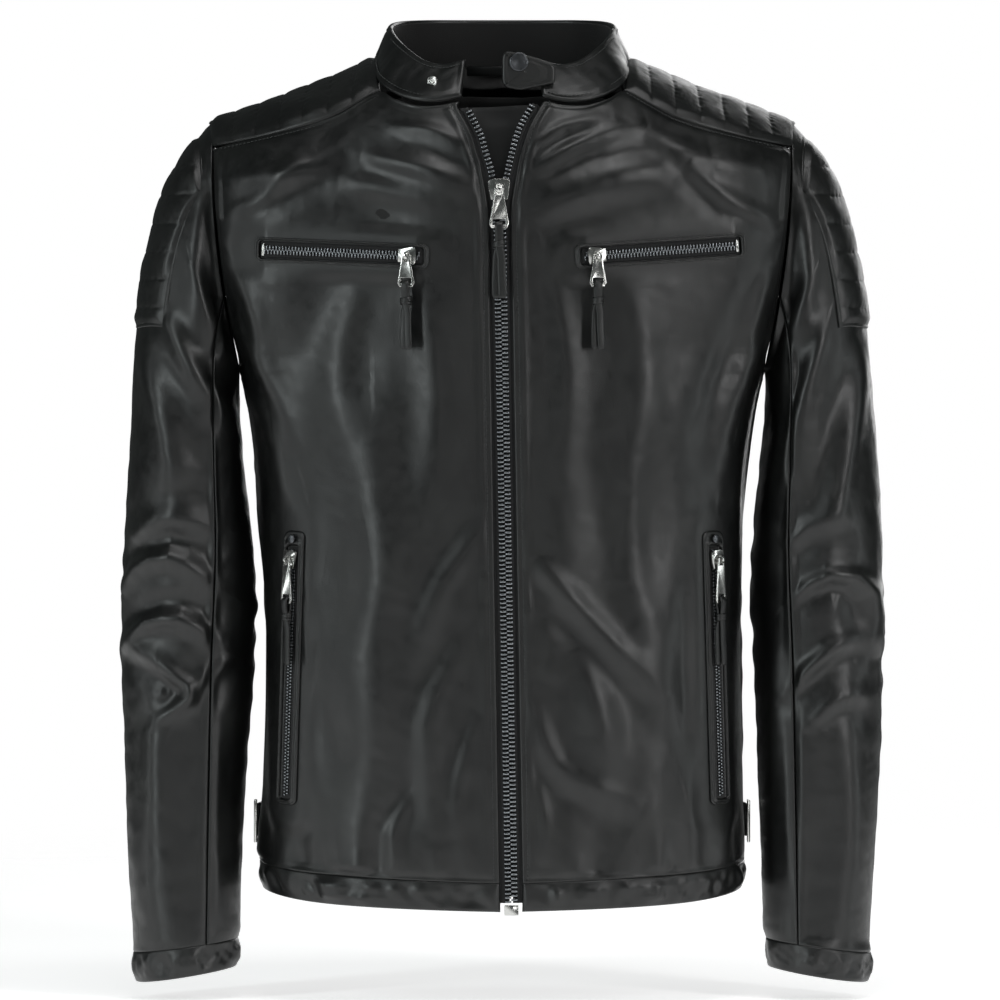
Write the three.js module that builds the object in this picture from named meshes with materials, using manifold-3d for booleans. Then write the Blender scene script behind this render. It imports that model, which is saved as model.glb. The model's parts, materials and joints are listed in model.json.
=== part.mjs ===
// A men's leather riding jacket: a band collar with a snap tab, quilted shoulders and upper
// sleeves, a main zip, two chest zips and two hand zips with leather thongs on their pulls.
// Millimetres, +Z up. The front faces -Y and the wearer's right is -X. The origin is the
// middle of the hanger loop inside the back neck.

import * as THREE from "three";
import { mergeVertices } from "three/addons/utils/BufferGeometryUtils.js";
import Module from "manifold-3d";

const wasm = await Module();
wasm.setup();

// ---- driving dimensions ----

const FRONT = -1;
const BACK = 1;
const RIGHT = -1;
const LEFT = 1;
const SIDE_NAMES = { [RIGHT]: "right", [LEFT]: "left" };

const AXIS_Y = -66; // the plane half way between chest and back
const FRONT_DEPTH = 126; // from that plane to the chest
const ROUND = 2.6; // exponent of the superellipse that every level of the torso follows
const LEAN_Z = -95; // above this height chest and back lean in to the shoulder line
const NECK_LEVEL = -45; // the torso keeps this level's half width above it

const LEATHER = 1.6;
const LINING = 1.0;
const LINING_DEPTH = 7.5;
const SLEEVE_LINING_DEPTH = 7.8;
const PAD = 4;
const SEAM = 0.5; // half the gap that two pieces leave at a seam

// height against half width at the side seam, and against the depth of the back
const SIDE = [
  [-652, 183], [-620, 189], [-560, 187], [-480, 184.5], [-380, 185.5], [-300, 193], [-232, 203],
];
const BACK_DEPTH = [[-652, 108], [-560, 104], [-400, 101], [-230, 116], [-120, 120], [40, 120]];
// distance from the middle against the height of the shoulder line
const RIDGE = [[0, 42], [60, 27], [100, 9.5], [131, -4], [169, -19], [206, -32], [226, -38.5]];

// The armhole is an ellipse that stands on edge, bowed outward at its middle.
const ARM = { topX: 225, topZ: -39, lowX: 204, lowZ: -232, depth: 55, bow: 6 };
const ARM_X = (ARM.topX + ARM.lowX) / 2;
const ARM_Z = (ARM.topZ + ARM.lowZ) / 2;

// Sleeve rings: place along the sleeve, outer x and z, inner x and z, half depth, middle y, bow
const SLEEVE = [
  [0, 225, -39, 204, -232, 55, -66, 6],
  [0.12, 253, -76, 203.5, -262, 61, -66, 5],
  [0.25, 271, -125, 200.5, -300, 65, -66, 3],
  [0.4, 284.5, -200, 196, -350, 66, -66, 1],
  [0.55, 292, -300, 192.5, -405, 62, -67, 0],
  [0.7, 297, -420, 195, -475, 57, -70, 0],
  [0.85, 293.5, -550, 199.5, -565, 51, -76, 0],
  [1, 287, -686, 205, -675, 46, -84, 0],
  [1.05, 285, -709, 206.5, -697, 45, -85.5, 0],
];
const UNDER_FROM = 2.0; // radians round the sleeve, from its outer line to the under sleeve's seam

// Seams on the front, as x and z of the wearer's left side
const YOKE = [[224.5, -58], [184, -49], [131, -33], [95, -14]];
const NECKLINE = [[95, -14], [83, -19], [66, -24], [49, -24], [33, -21]];
const BACK_NECK = [[92, -2], [70, 3], [35, 2], [0, 1]];
// The back yoke seam, from the collar to the armhole
const BACK_YOKE = [[100, -24], [131, -55], [184, -72], [224.5, -62]];

// The main zip is straight from its slider to its retainer box.
const MAIN = { topX: -2.3, topZ: -88, lowX: 7.3, lowZ: -647 };
const LAPEL_GAP = 8.5;
const TEETH_OFFSET = 2.7;
// Above the slider the two rows open; x and z of each row, upward
const ROW = {
  [RIGHT]: [[-7, -80], [-10, -71], [-13, -61], [-16, -50], [-21, -39], [-28, -26]],
  [LEFT]: [[3.5, -80], [5.5, -72], [8, -61], [11, -50], [16, -38], [25, -23]],
};
const LAPEL_FROM_ROW = 6.3;

// Pocket zips: x and z of the slider's end and of the far end
const POCKETS = [
  { name: "chest", side: RIGHT, from: [-66, -141.5], to: [-183, -137], start: 6, head: 10 },
  { name: "chest", side: LEFT, from: [66, -141.5], to: [180, -134], start: 6, head: 10 },
  { name: "hand", side: RIGHT, from: [-160.5, -372], to: [-166.5, -560], start: 5, head: 17 },
  { name: "hand", side: LEFT, from: [163, -372], to: [168.5, -560], start: 5, head: 17 },
];
const WELT_OPENING = 7.3;
const WELT_HALF = { chest: 9.5, hand: 7.6 };

const HEM_SEAM = [[0, -627], [0.25, -621], [0.5, -615], [0.75, -618], [1, -620]];
const HEM_EDGE = [[0, -648], [0.25, -643], [0.5, -636], [0.75, -639], [1, -641]];

// ---- materials ----

const finish = (color, roughness, metalness = 0) =>
  new THREE.MeshStandardMaterial({ color, roughness, metalness });
const leather = finish(0x1c1f1e, 0.42);
const quilted = finish(0x1b1e1d, 0.45);
const lining = finish(0x101112, 0.9);
const tape = finish(0x0c0c0d, 0.85);
const nickel = finish(0xb9bcbc, 0.25, 1);
const gunmetal = finish(0x5f6163, 0.35, 1);

// ---- numbers and curves ----

const mix = (a, b, t) => a + (b - a) * t;
const clamp = (t, low = 0, high = 1) => Math.min(high, Math.max(low, t));
const smooth = (t) => clamp(t) ** 2 * (3 - 2 * clamp(t));
const steps = (count) => Array.from({ length: count + 1 }, (_, i) => i / count);
const vector = (p) => new THREE.Vector3(...p);

// A smooth curve through knots, whose first numbers rise: column k at place t.
function along(knots, t, k = 1) {
  const last = knots.length - 1;
  const at = clamp(t, knots[0][0], knots[last][0]);
  let i = 0;
  while (i < last - 1 && at > knots[i + 1][0]) i += 1;
  const slope = (j) => {
    const before = knots[Math.max(j - 1, 0)];
    const after = knots[Math.min(j + 1, last)];
    return (after[k] - before[k]) / (after[0] - before[0]);
  };
  const span = knots[i + 1][0] - knots[i][0];
  const s = (at - knots[i][0]) / span;
  const start = knots[i][k] * (2 * s ** 3 - 3 * s ** 2 + 1) + slope(i) * span * (s ** 3 - 2 * s ** 2 + s);
  return start + knots[i + 1][k] * (3 * s ** 2 - 2 * s ** 3) + slope(i + 1) * span * (s ** 3 - s ** 2);
}

// The points again as knots, with their distance along the line, from 0 to 1, in front.
function measured(points) {
  let run = 0;
  const knots = points.map((p, i) => {
    if (i > 0) run += Math.hypot(...p.map((value, k) => value - points[i - 1][k]));
    return [run, ...p];
  });
  return knots.map(([at, ...p]) => [at / run, ...p]);
}

// ---- the torso's surface ----

const crown = (x, half) => Math.max(0, 1 - (Math.abs(x) / half) ** ROUND) ** (1 / ROUND);

function lean(x, z) {
  const rise = clamp((z - LEAN_Z) / (along(RIDGE, Math.abs(x)) - LEAN_Z));
  return Math.sqrt(1 - rise ** 2);
}

const armLevel = (z) => clamp((z - ARM_Z) / (ARM.topZ - ARM_Z), -1, 1);

function armholeX(z) {
  const level = armLevel(z);
  return ARM_X + (ARM.topX - ARM_X) * level + ARM.bow * (1 - level ** 2);
}

// Half the torso's width at a level. Above the armpit it is such that the surface meets the armhole.
function halfWidth(z, depth) {
  if (z < ARM.lowZ) return along(SIDE, z);
  const level = Math.min(z, NECK_LEVEL);
  const x = armholeX(level);
  const share = (ARM.depth * Math.sqrt(1 - armLevel(level) ** 2)) / (depth * lean(x, level));
  return x / (1 - share ** ROUND) ** (1 / ROUND);
}

const rawFront = (x, z) =>
  AXIS_Y - FRONT_DEPTH * crown(x, halfWidth(z, FRONT_DEPTH)) * lean(x, z);

// Along a pocket zip the front is drawn flat to the straight line between the zip's ends.
const SETTLE_FULL = 70;
const SETTLE_NONE = 130;

function settle(x, z) {
  let shift = 0;
  for (const { side, from, to } of POCKETS) {
    if (side * x < 0) continue;
    const run = [to[0] - from[0], to[1] - from[1]];
    const s = clamp(((x - from[0]) * run[0] + (z - from[1]) * run[1]) / (run[0] ** 2 + run[1] ** 2));
    const near = [from[0] + run[0] * s, from[1] + run[1] * s];
    const away = Math.hypot(x - near[0], z - near[1]);
    const weight = 1 - smooth((away - SETTLE_FULL) / (SETTLE_NONE - SETTLE_FULL));
    const line = mix(rawFront(...from), rawFront(...to), s);
    shift += weight * (line - rawFront(...near));
  }
  return shift;
}

const front = (x, z) => [x, rawFront(x, z) + settle(x, z), z];

// A point by its share of the way to the side seam, -1 to 1, and its height.
function onTorso(face, share, z) {
  const depth = face === FRONT ? FRONT_DEPTH : along(BACK_DEPTH, z);
  const turn = (Math.abs(share) * Math.PI) / 2;
  const x = Math.sign(share) * halfWidth(z, depth) * Math.sin(turn) ** (2 / ROUND);
  const out = depth * Math.cos(turn) ** (2 / ROUND) * lean(x, z);
  return [x, AXIS_Y + face * out + (face === FRONT ? settle(x, z) : 0), z];
}

function shareOf(face, x, z) {
  const depth = face === FRONT ? FRONT_DEPTH : along(BACK_DEPTH, z);
  const ratio = Math.min(1, Math.abs(x) / halfWidth(z, depth));
  return (Math.sign(x) * Math.asin(ratio ** (ROUND / 2))) / (Math.PI / 2);
}

// A point over the shoulder: turn 0 is the chest at the lean height, half a turn is the back.
function overShoulder(x, turn) {
  const z = LEAN_Z + (along(RIDGE, Math.abs(x)) - LEAN_Z) * Math.sin(turn);
  const depth = Math.cos(turn) > 0 ? FRONT_DEPTH : along(BACK_DEPTH, z);
  return [x, AXIS_Y - depth * crown(x, halfWidth(z, depth)) * Math.cos(turn), z];
}

// ---- solids ----

function geometryOf(positions, triangles) {
  const geometry = new THREE.BufferGeometry();
  geometry.setAttribute("position", new THREE.Float32BufferAttribute(positions.flat(), 3));
  geometry.setIndex(triangles.flat());
  geometry.computeVertexNormals();
  return geometry;
}

function volumeOf(positions, triangles) {
  const sum = (total, [a, b, c]) =>
    total + vector(positions[a]).dot(vector(positions[b]).cross(vector(positions[c])));
  return triangles.reduce(sum, 0);
}

// One closed solid between two grids of points; with wrap its first and last rows join.
function between(outer, inner, wrap = false) {
  const rows = outer.length;
  const columns = outer[0].length;
  const positions = [...outer.flat(), ...inner.flat()];
  const id = (i, j, layer) => layer * rows * columns + (i % rows) * columns + j;
  const triangles = [];
  const quad = (a, b, c, d) => triangles.push([a, b, c], [a, c, d]);
  const spans = wrap ? rows : rows - 1;
  for (let i = 0; i < spans; i += 1) {
    for (let j = 0; j < columns - 1; j += 1) {
      quad(id(i, j, 0), id(i + 1, j, 0), id(i + 1, j + 1, 0), id(i, j + 1, 0));
      quad(id(i, j, 1), id(i, j + 1, 1), id(i + 1, j + 1, 1), id(i + 1, j, 1));
    }
    quad(id(i, 0, 1), id(i + 1, 0, 1), id(i + 1, 0, 0), id(i, 0, 0));
    const last = columns - 1;
    quad(id(i, last, 0), id(i + 1, last, 0), id(i + 1, last, 1), id(i, last, 1));
  }
  for (let j = 0; !wrap && j < columns - 1; j += 1) {
    quad(id(0, j, 0), id(0, j + 1, 0), id(0, j + 1, 1), id(0, j, 1));
    quad(id(rows - 1, j + 1, 0), id(rows - 1, j, 0), id(rows - 1, j, 1), id(rows - 1, j + 1, 1));
  }
  const outward = volumeOf(positions, triangles) > 0;
  return geometryOf(positions, outward ? triangles : triangles.map(([a, b, c]) => [a, c, b]));
}

// The unit normal of point(u, v), away from middle(p).
const NUDGE = 1e-3;
function normalAt(point, u, v, middle, wrap = false) {
  const [u0, u1] = wrap ? [u - NUDGE, u + NUDGE] : [Math.max(0, u - NUDGE), Math.min(1, u + NUDGE)];
  const [v0, v1] = [Math.max(0, v - NUDGE), Math.min(1, v + NUDGE)];
  const acrossU = vector(point(u1, v)).sub(vector(point(u0, v)));
  const acrossV = vector(point(u, v1)).sub(vector(point(u, v0)));
  const normal = acrossU.cross(acrossV).normalize();
  const p = point(u, v);
  return normal.dot(vector(p).sub(vector(middle(p)))) < 0 ? normal.negate() : normal;
}

const torsoMiddle = (p) => [0, AXIS_Y, p[2]];
const sleeveMiddle = (side) => (p) => [side * 245, -70, p[2]];

// A skin that follows point(u, v), from inner to outer millimetres off it.
function skin(point, [countU, countV], [outer, inner], middle = torsoMiddle, wrap = false) {
  const across = wrap ? steps(countU).slice(0, -1) : steps(countU);
  const layer = (offset) =>
    across.map((u) =>
      steps(countV).map((v) => {
        const normal = normalAt(point, u, v, middle, wrap);
        return vector(point(u, v)).addScaledVector(normal, offset).toArray();
      }),
    );
  return between(layer(outer), layer(inner), wrap);
}

// A patch of the torso between four seams, each given as knots of share and height.
function patch(face, low, high, start, end) {
  const corner = (knots, t) => [1, 2].map((k) => along(knots, t, k));
  const corners = [corner(low, 0), corner(low, 1), corner(high, 0), corner(high, 1)];
  return (u, v) => {
    const place = [0, 1].map((k) => {
      const acrossV = mix(along(low, u, k + 1), along(high, u, k + 1), v);
      const acrossU = mix(along(start, v, k + 1), along(end, v, k + 1), u);
      const ends = corners.map((end) => end[k]);
      return acrossV + acrossU - mix(mix(ends[0], ends[1], u), mix(ends[2], ends[3], u), v);
    });
    return onTorso(face, clamp(place[0], -1, 1), place[1]);
  };
}

// The part of a patch that a lining covers: it stops short of the seams at its sides.
const inset = (point, low, high, top = 0.95) => (u, v) => point(mix(low, high, u), mix(0.01, top, v));

// Points of x and height, as knots of share and height.
const seam = (face, points) => {
  const knots = measured(points);
  return knots.map(([at, x, z]) => [at, shareOf(face, x, z), z]);
};

// ---- panels ----

const NEARLY_SIDE = 0.9995;
const SIDE_LEVELS = [-614, -560, -500, -440, -380, -320, -270, -236];
const ARM_LEVELS = [-225, -205, -180, -150, -120, -90, -60];

function sideEdge(face, side) {
  const below = SIDE_LEVELS.map((z) => [side * NEARLY_SIDE, z]);
  const above = ARM_LEVELS.map((z) => [shareOf(face, side * (armholeX(z) - SEAM), z), z]);
  return measured([...below, ...above].map(([share, z]) => [share * 300, z]))
    .map(([at, share, z]) => [at, share / 300, z]);
}

const zipX = (z) => mix(MAIN.topX, MAIN.lowX, (z - MAIN.topZ) / (MAIN.lowZ - MAIN.topZ));

function lapel(side) {
  const straight = [-626, -500, -350, -200, -110].map((z) => [zipX(z) + side * LAPEL_GAP, z]);
  const open = ROW[side].slice(1).map(([x, z]) => [x + side * LAPEL_FROM_ROW, z]);
  return [...straight, ...open, [side * 33, -22]];
}

const mirrored = (points, side) => points.map(([x, z]) => [side * x, z]);

function frontPatch(side) {
  const top = [...mirrored(YOKE, side), ...mirrored(NECKLINE, side).slice(1)];
  top[0] = [side * (armholeX(-60) - SEAM), -60];
  const edge = shareOf(FRONT, zipX(-626) + side * LAPEL_GAP, -626);
  const hem = [[side * NEARLY_SIDE, -614], [side * 0.5, -620], [edge, -626]];
  return patch(
    FRONT,
    hem.map(([share, z], i) => [i / 2, share, z]),
    seam(FRONT, top),
    sideEdge(FRONT, side),
    seam(FRONT, lapel(side)),
  );
}

function backPatch() {
  const yoke = BACK_YOKE.slice(0, 3).reverse();
  const half = [[armholeX(-62) - SEAM, -62], ...yoke, ...BACK_NECK];
  const top = [...half, ...mirrored(half, RIGHT).reverse().slice(1)];
  const hem = [[0, NEARLY_SIDE, -614], [0.5, 0, -619], [1, -NEARLY_SIDE, -614]];
  return patch(BACK, hem, seam(BACK, top), sideEdge(BACK, LEFT), sideEdge(BACK, RIGHT));
}

// The quilted yoke: u runs from the collar to the sleeve, v from the front seam to the back seam.
function shoulderPatch(side) {
  const frontSeam = [...YOKE].reverse();
  const turnAt = (knots, gap, x) =>
    Math.asin(clamp((along(knots, x) + gap - LEAN_Z) / (along(RIDGE, x) - LEAN_Z)));
  const backSeam = [BACK_NECK[0], ...BACK_YOKE];
  return (u, v) => {
    const bulge = Math.sqrt(Math.sin(v * Math.PI));
    const neck = 98.5 + 3.5 * bulge - 7.5 * smooth((v - 0.55) / 0.3); // the collar narrows to the back
    const x = mix(neck, 221 + 2.5 * bulge, u);
    return overShoulder(side * x, mix(turnAt(frontSeam, 1.5, x), Math.PI - turnAt(backSeam, 6, x), v));
  };
}

// ---- sleeves ----

function onSleeve(side, t, turn) {
  const [outX, outZ, inX, inZ, depth, middleY, bow] = [1, 2, 3, 4, 5, 6, 7].map((k) => along(SLEEVE, t, k));
  const swing = Math.cos(turn);
  const x = (outX + inX) / 2 + ((outX - inX) / 2) * swing + bow * Math.sin(turn) ** 2 + SEAM;
  return [side * x, middleY - depth * Math.sin(turn), (outZ + inZ) / 2 + ((outZ - inZ) / 2) * swing];
}

const sleevePatch = (side, fromT, toT, fromTurn, toTurn) => (u, v) =>
  onSleeve(side, mix(fromT, toT, v), mix(fromTurn, toTurn, u));

// The quilted patch on the outside of the upper sleeve; its lower end is cut on a slant.
const sleevePadPatch = (side) => (u, v) => {
  const turn = mix(1.0, -1.25, u);
  const low = 0.4 - 0.16 * (1 - Math.cos(turn));
  return onSleeve(side, mix(0.035, low, v), turn);
};

// ---- hem, collar and trim ----

// Round the torso: 0 is the front middle, 0.5 the side seam and 1 the back middle.
function roundTorso(side, turn, z) {
  return turn < 0.5 ? onTorso(FRONT, side * turn * 2, z) : onTorso(BACK, side * (2 - 2 * turn), z);
}

function hemPatch(side) {
  const start = Math.abs(shareOf(FRONT, zipX(-640) + side * LAPEL_GAP, -640)) / 2;
  return (u, v) => {
    const turn = mix(start, 0.998, u);
    return roundTorso(side, turn, mix(along(HEM_EDGE, turn), along(HEM_SEAM, turn) - 1, v));
  };
}

const onBack = (x, z) => onTorso(BACK, shareOf(BACK, x, z), z);

// The collar's lower and upper edges, from the wearer's right end round the back to the left.
const COLLAR_BASE = (() => {
  const half = [
    front(31, -19), front(49, -22.4), front(66, -22), front(82, -17), front(95, -8),
    [97.5, -86, 6], [97.5, -52, 9], [89, -22, 8], onBack(70, 5.8), onBack(35, 4.8),
  ];
  const right = half.map(([x, y, z]) => [-x, y, z]);
  return measured([...right, onBack(0, 3.8), ...half.reverse()]);
})();
const COLLAR_TOP = (() => {
  const half = [
    [28, -150, 9.5], [45, -146, 5.5], [60, -137, 9], [75, -118, 20], [84, -90, 30],
    [86, -58, 36], [78, -24, 39], [60, -2, 40], [30, 10, 40],
  ];
  const right = half.map(([x, y, z]) => [-x, y, z]);
  return measured([...right, [0, 13, 40], ...half.reverse()]);
})();

const onCollar = (u, v) =>
  [1, 2, 3].map((k) => mix(along(COLLAR_BASE, u, k), along(COLLAR_TOP, u, k), v));

// A strip beside a line on the front: offsets run away from the middle, depths run outward.
function strip(line, count, [near, far], [outer, inner]) {
  const knots = measured(line);
  const at = (u) => [along(knots, u, 1), along(knots, u, 2)];
  const surface = (u, v) => {
    const [x0, z0] = at(Math.max(0, u - NUDGE));
    const [x1, z1] = at(Math.min(1, u + NUDGE));
    const run = Math.hypot(x1 - x0, z1 - z0);
    const [x, z] = at(u);
    const offset = mix(near(u), far(u), v);
    return front(x + ((z1 - z0) / run) * offset, z - ((x1 - x0) / run) * offset);
  };
  return skin(surface, [count, 1], [outer, inner]);
}

// ---- hardware ----

function manifoldOf(geometry) {
  const plain = geometry.clone();
  plain.deleteAttribute("normal");
  plain.deleteAttribute("uv");
  const merged = mergeVertices(plain, 1e-4);
  const index = merged.index ? Uint32Array.from(merged.index.array) : undefined;
  const vertProperties = merged.attributes.position.array;
  const mesh = new wasm.Mesh({ numProp: 3, vertProperties, triVerts: index });
  return new wasm.Manifold(mesh);
}

function joined(...geometries) {
  const [first, ...rest] = geometries.map(manifoldOf);
  const mesh = rest.reduce((whole, piece) => whole.add(piece), first).getMesh();
  const geometry = new THREE.BufferGeometry();
  geometry.setAttribute("position", new THREE.BufferAttribute(mesh.vertProperties, 3));
  geometry.setIndex(new THREE.BufferAttribute(mesh.triVerts, 1));
  geometry.computeVertexNormals();
  return geometry;
}

const outline = (points) => new THREE.Shape(points.map(([x, y]) => new THREE.Vector2(x, y)));

// A flat plate of the shape, lying from low to high along its own +Z.
function plate(shape, low, high, curveSegments = 6) {
  const settings = { depth: high - low, bevelEnabled: false, curveSegments };
  return new THREE.ExtrudeGeometry(shape, settings).translate(0, 0, low);
}

function disc(radius, low, high) {
  const shape = new THREE.Shape();
  shape.absarc(0, 0, radius, 0, 2 * Math.PI);
  return plate(shape, low, high, 10);
}

// In a zip's own frame +X runs across the zip, +Y up the zip and +Z out of the jacket.
function sliderBody({ length, half, plateLow, flangeLow }) {
  const top = half + 1.8;
  const shield = outline([
    [-half, -length / 2], [half, -length / 2], [top, length * 0.2], [top, length * 0.42],
    [top * 0.6, length / 2], [-top * 0.6, length / 2], [-top, length * 0.42], [-top, length * 0.2],
  ]);
  const rail = (sign) => outline([
    [sign * half, -length / 2], [sign * top, length * 0.2], [sign * top, length * 0.42],
    [sign * (top - 0.9), length * 0.42], [sign * (top - 0.9), length * 0.2],
    [sign * (half - 0.9), -length / 2],
  ]);
  const rails = [RIGHT, LEFT].map((sign) => plate(rail(sign), flangeLow, plateLow + 0.5));
  return [plate(shield, plateLow, plateLow + PLATE), ...rails];
}

const PLATE = 1.6;
const PIVOT_RISE = 2.4; // from the slider's plate to the pull's pivot
const CROWN = { inner: 1.9, outer: 3.2, half: 1.1 };

// The arch that the pull hangs in, about the pivot; +X along the pivot, +Y up, +Z out.
function sliderArch() {
  const foot = -PIVOT_RISE - 0.5;
  const shape = new THREE.Shape();
  shape.moveTo(CROWN.outer, foot);
  shape.lineTo(CROWN.outer, 0);
  shape.absarc(0, 0, CROWN.outer, 0, Math.PI);
  shape.lineTo(-CROWN.outer, foot);
  shape.lineTo(-CROWN.inner, foot);
  shape.lineTo(-CROWN.inner, 0);
  shape.absarc(0, 0, CROWN.inner, Math.PI, 0, true);
  shape.lineTo(CROWN.inner, foot);
  const arch = plate(shape, -CROWN.half, CROWN.half);
  const turned = new THREE.Matrix4().makeBasis(vector([0, 1, 0]), vector([0, 0, 1]), vector([1, 0, 0]));
  return arch.applyMatrix4(turned);
}

const BAR = 2.6; // the bar at the pull's lower end, that the thong is looped round

// The pull about its pivot, with an eye for the arch and a slot for the thong.
function pullPlate(length, half) {
  const shape = outline([
    [-3.6, 0.8], [3.6, 0.8], [3.9, -5.5], [half, -length + 3], [half - 1.6, -length],
    [-half + 1.6, -length], [-half, -length + 3], [-3.9, -5.5],
  ]);
  const slot = half - 2.6;
  const slotTop = -length + BAR + 4.4;
  shape.holes.push(
    outline([[-1.9, -0.8], [-1.9, -4.4], [1.9, -4.4], [1.9, -0.8]]),
    outline([[-slot, slotTop], [-slot, -length + BAR], [slot, -length + BAR], [slot, slotTop]]),
  );
  return plate(shape, -0.75, 0.75);
}

const LOOP = { inner: 1.9, outer: 3.5 };

// The thong about the pull's bar: a loop round the bar, two strands together and a bound end.
function thongPiece(length, half) {
  const neck = 1.9;
  const shape = new THREE.Shape();
  const meet = Math.acos(neck / LOOP.outer);
  shape.absarc(0, 0, LOOP.outer, -meet, Math.PI + meet);
  shape.lineTo(-neck, -length * 0.68);
  shape.lineTo(-3, -length * 0.72);
  shape.lineTo(-3, -length);
  shape.lineTo(3, -length);
  shape.lineTo(3, -length * 0.72);
  shape.lineTo(neck, -length * 0.68);
  const eye = new THREE.Path();
  eye.absarc(0, 0, LOOP.inner, 0, 2 * Math.PI);
  shape.holes.push(eye);
  const strands = plate(shape, -half, half);
  const turned = new THREE.Matrix4().makeBasis(vector([0, 0, 1]), vector([0, 1, 0]), vector([-1, 0, 0]));
  return strands.applyMatrix4(turned);
}

// ---- the jacket ----

const jacket = new THREE.Group();
jacket.name = "riding_jacket";

function add(name, geometry, material, parent = jacket) {
  const mesh = new THREE.Mesh(geometry, material);
  mesh.name = name;
  parent.add(mesh);
  return mesh;
}

// Puts a mesh's origin at a place, with its +Z out of the jacket and its +Y as near to up as can be.
function place(mesh, at, out, up) {
  const across = new THREE.Vector3().crossVectors(up, out).normalize();
  const basis = new THREE.Matrix4().makeBasis(across, new THREE.Vector3().crossVectors(out, across), out);
  mesh.quaternion.setFromRotationMatrix(basis);
  mesh.position.copy(at);
  return mesh;
}

function addShell() {
  const bands = [0, -LEATHER];
  const under = [-LINING_DEPTH, -LINING_DEPTH - LINING];
  for (const side of [RIGHT, LEFT]) {
    const name = SIDE_NAMES[side];
    add(`${name}_front_panel`, skin(frontPatch(side), [9, 14], bands), leather);
    add(`${name}_front_lining`, skin(inset(frontPatch(side), 0.07, 1), [6, 9], under), lining);
    add(`${name}_shoulder_pad`, skin(shoulderPatch(side), [6, 8], [PAD - LEATHER, -LEATHER]), quilted);
    add(`${name}_hem_band`, skin(hemPatch(side), [20, 1], [1.4, -LEATHER - 0.6]), leather);
  }
  add("back_panel", skin(backPatch(), [18, 12], bands), leather);
  add("back_lining", skin(inset(backPatch(), 0.04, 0.96, 0.91), [14, 10], [-9, -9 - LINING]), lining);
}

function addSleeves() {
  for (const side of [RIGHT, LEFT]) {
    const name = SIDE_NAMES[side];
    const middle = sleeveMiddle(side);
    const whole = 2 * Math.PI;
    const top = sleevePatch(side, 0, 1, UNDER_FROM - 0.008, -UNDER_FROM + 0.008);
    const under = sleevePatch(side, 0, 1, UNDER_FROM + 0.008, whole - UNDER_FROM - 0.008);
    const inside = sleevePatch(side, 0.06, 0.985, 0, whole);
    const cuff = sleevePatch(side, 1.0025, 1.05, 0, whole);
    add(`${name}_sleeve_top`, skin(top, [12, 16], [0, -LEATHER], middle), leather);
    add(`${name}_sleeve_under`, skin(under, [5, 14], [0, -LEATHER], middle), leather);
    add(`${name}_sleeve_lining`,
      skin(inside, [12, 9], [-SLEEVE_LINING_DEPTH, -SLEEVE_LINING_DEPTH - LINING], middle, true), lining);
    add(`${name}_cuff`, skin(cuff, [18, 1], [0.8, -LEATHER - 0.6], middle, true), leather);
    add(`${name}_sleeve_pad`, skin(sleevePadPatch(side), [8, 8], [PAD + 1, 1.4], middle), quilted);
  }
}

function addCollar() {
  add("collar", skin(onCollar, [30, 2], [2, -2]), leather);
  const up = vector([0, 0, 1]);
  const tabOut = vector([0.1, -1, 0]).normalize();
  const shape = outline([
    [0, -9.5], [0, 4], [-14, 10], [-39, 16], [-41.5, 13], [-41.5, -9], [-39, -13], [-27, -15.5],
  ]);
  const tab = place(add("collar_tab", plate(shape, -1.6, 1.6), leather), vector([41, -166, 1]), tabOut, up);
  const cap = add("snap_cap", disc(7.5, 0, 2.4), gunmetal);
  tab.updateMatrix();
  place(cap, vector([-28.5, 7, 1.9]).applyMatrix4(tab.matrix), tabOut, up);
  const seat = 0.045; // share of the collar's length from its right end to the stud
  const out = normalAt(onCollar, seat, 0.45, torsoMiddle);
  const studAt = vector(onCollar(seat, 0.45)).addScaledVector(out, 2.6);
  place(add("snap_stud", disc(4.5, 0, 3), nickel), studAt, out, up);
}

function addHangerLoop() {
  const half = 27;
  const surface = (u, v) => {
    const x = mix(-half, half, u);
    return [x, -1.2 + 9.5 * (x / half) ** 2, mix(-4, 4, v)];
  };
  add("hanger_loop", skin(surface, [12, 1], [0, -2.2], (p) => [0, -100, p[2]]), leather);
}

// Slider, pull and thong of one zip. down is the way the slider travels to open the zip.
function addSlider(name, at, down, out, { half, length, plateLow, flangeLow, pull, thong }) {
  const up = vector([0, 0, 1]);
  const level = out.clone().setZ(0).normalize();
  const plateTop = plateLow + PLATE;
  const body = sliderBody({ length, half, plateLow, flangeLow });
  const back = down.clone().negate();
  const inZip = new THREE.Matrix4().makeBasis(new THREE.Vector3().crossVectors(back, out), back, out);
  const pivot = out.clone().multiplyScalar(plateTop + PIVOT_RISE);
  const upright = new THREE.Matrix4().makeBasis(new THREE.Vector3().crossVectors(up, level), up, level);
  upright.setPosition(pivot);
  const pieces = [...body.map((piece) => piece.applyMatrix4(inZip)), sliderArch().applyMatrix4(upright)];
  const slider = add(`${name}_slider`, joined(...pieces), nickel);
  slider.position.copy(at);
  const pullAt = at.clone().add(pivot);
  place(add(`${name}_pull`, pullPlate(...pull), nickel), pullAt, level, up);
  const barAt = pullAt.clone().addScaledVector(up, -pull[0] + BAR / 2);
  place(add(`${name}_thong`, thongPiece(...thong), leather), barAt, level, up);
}

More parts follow.
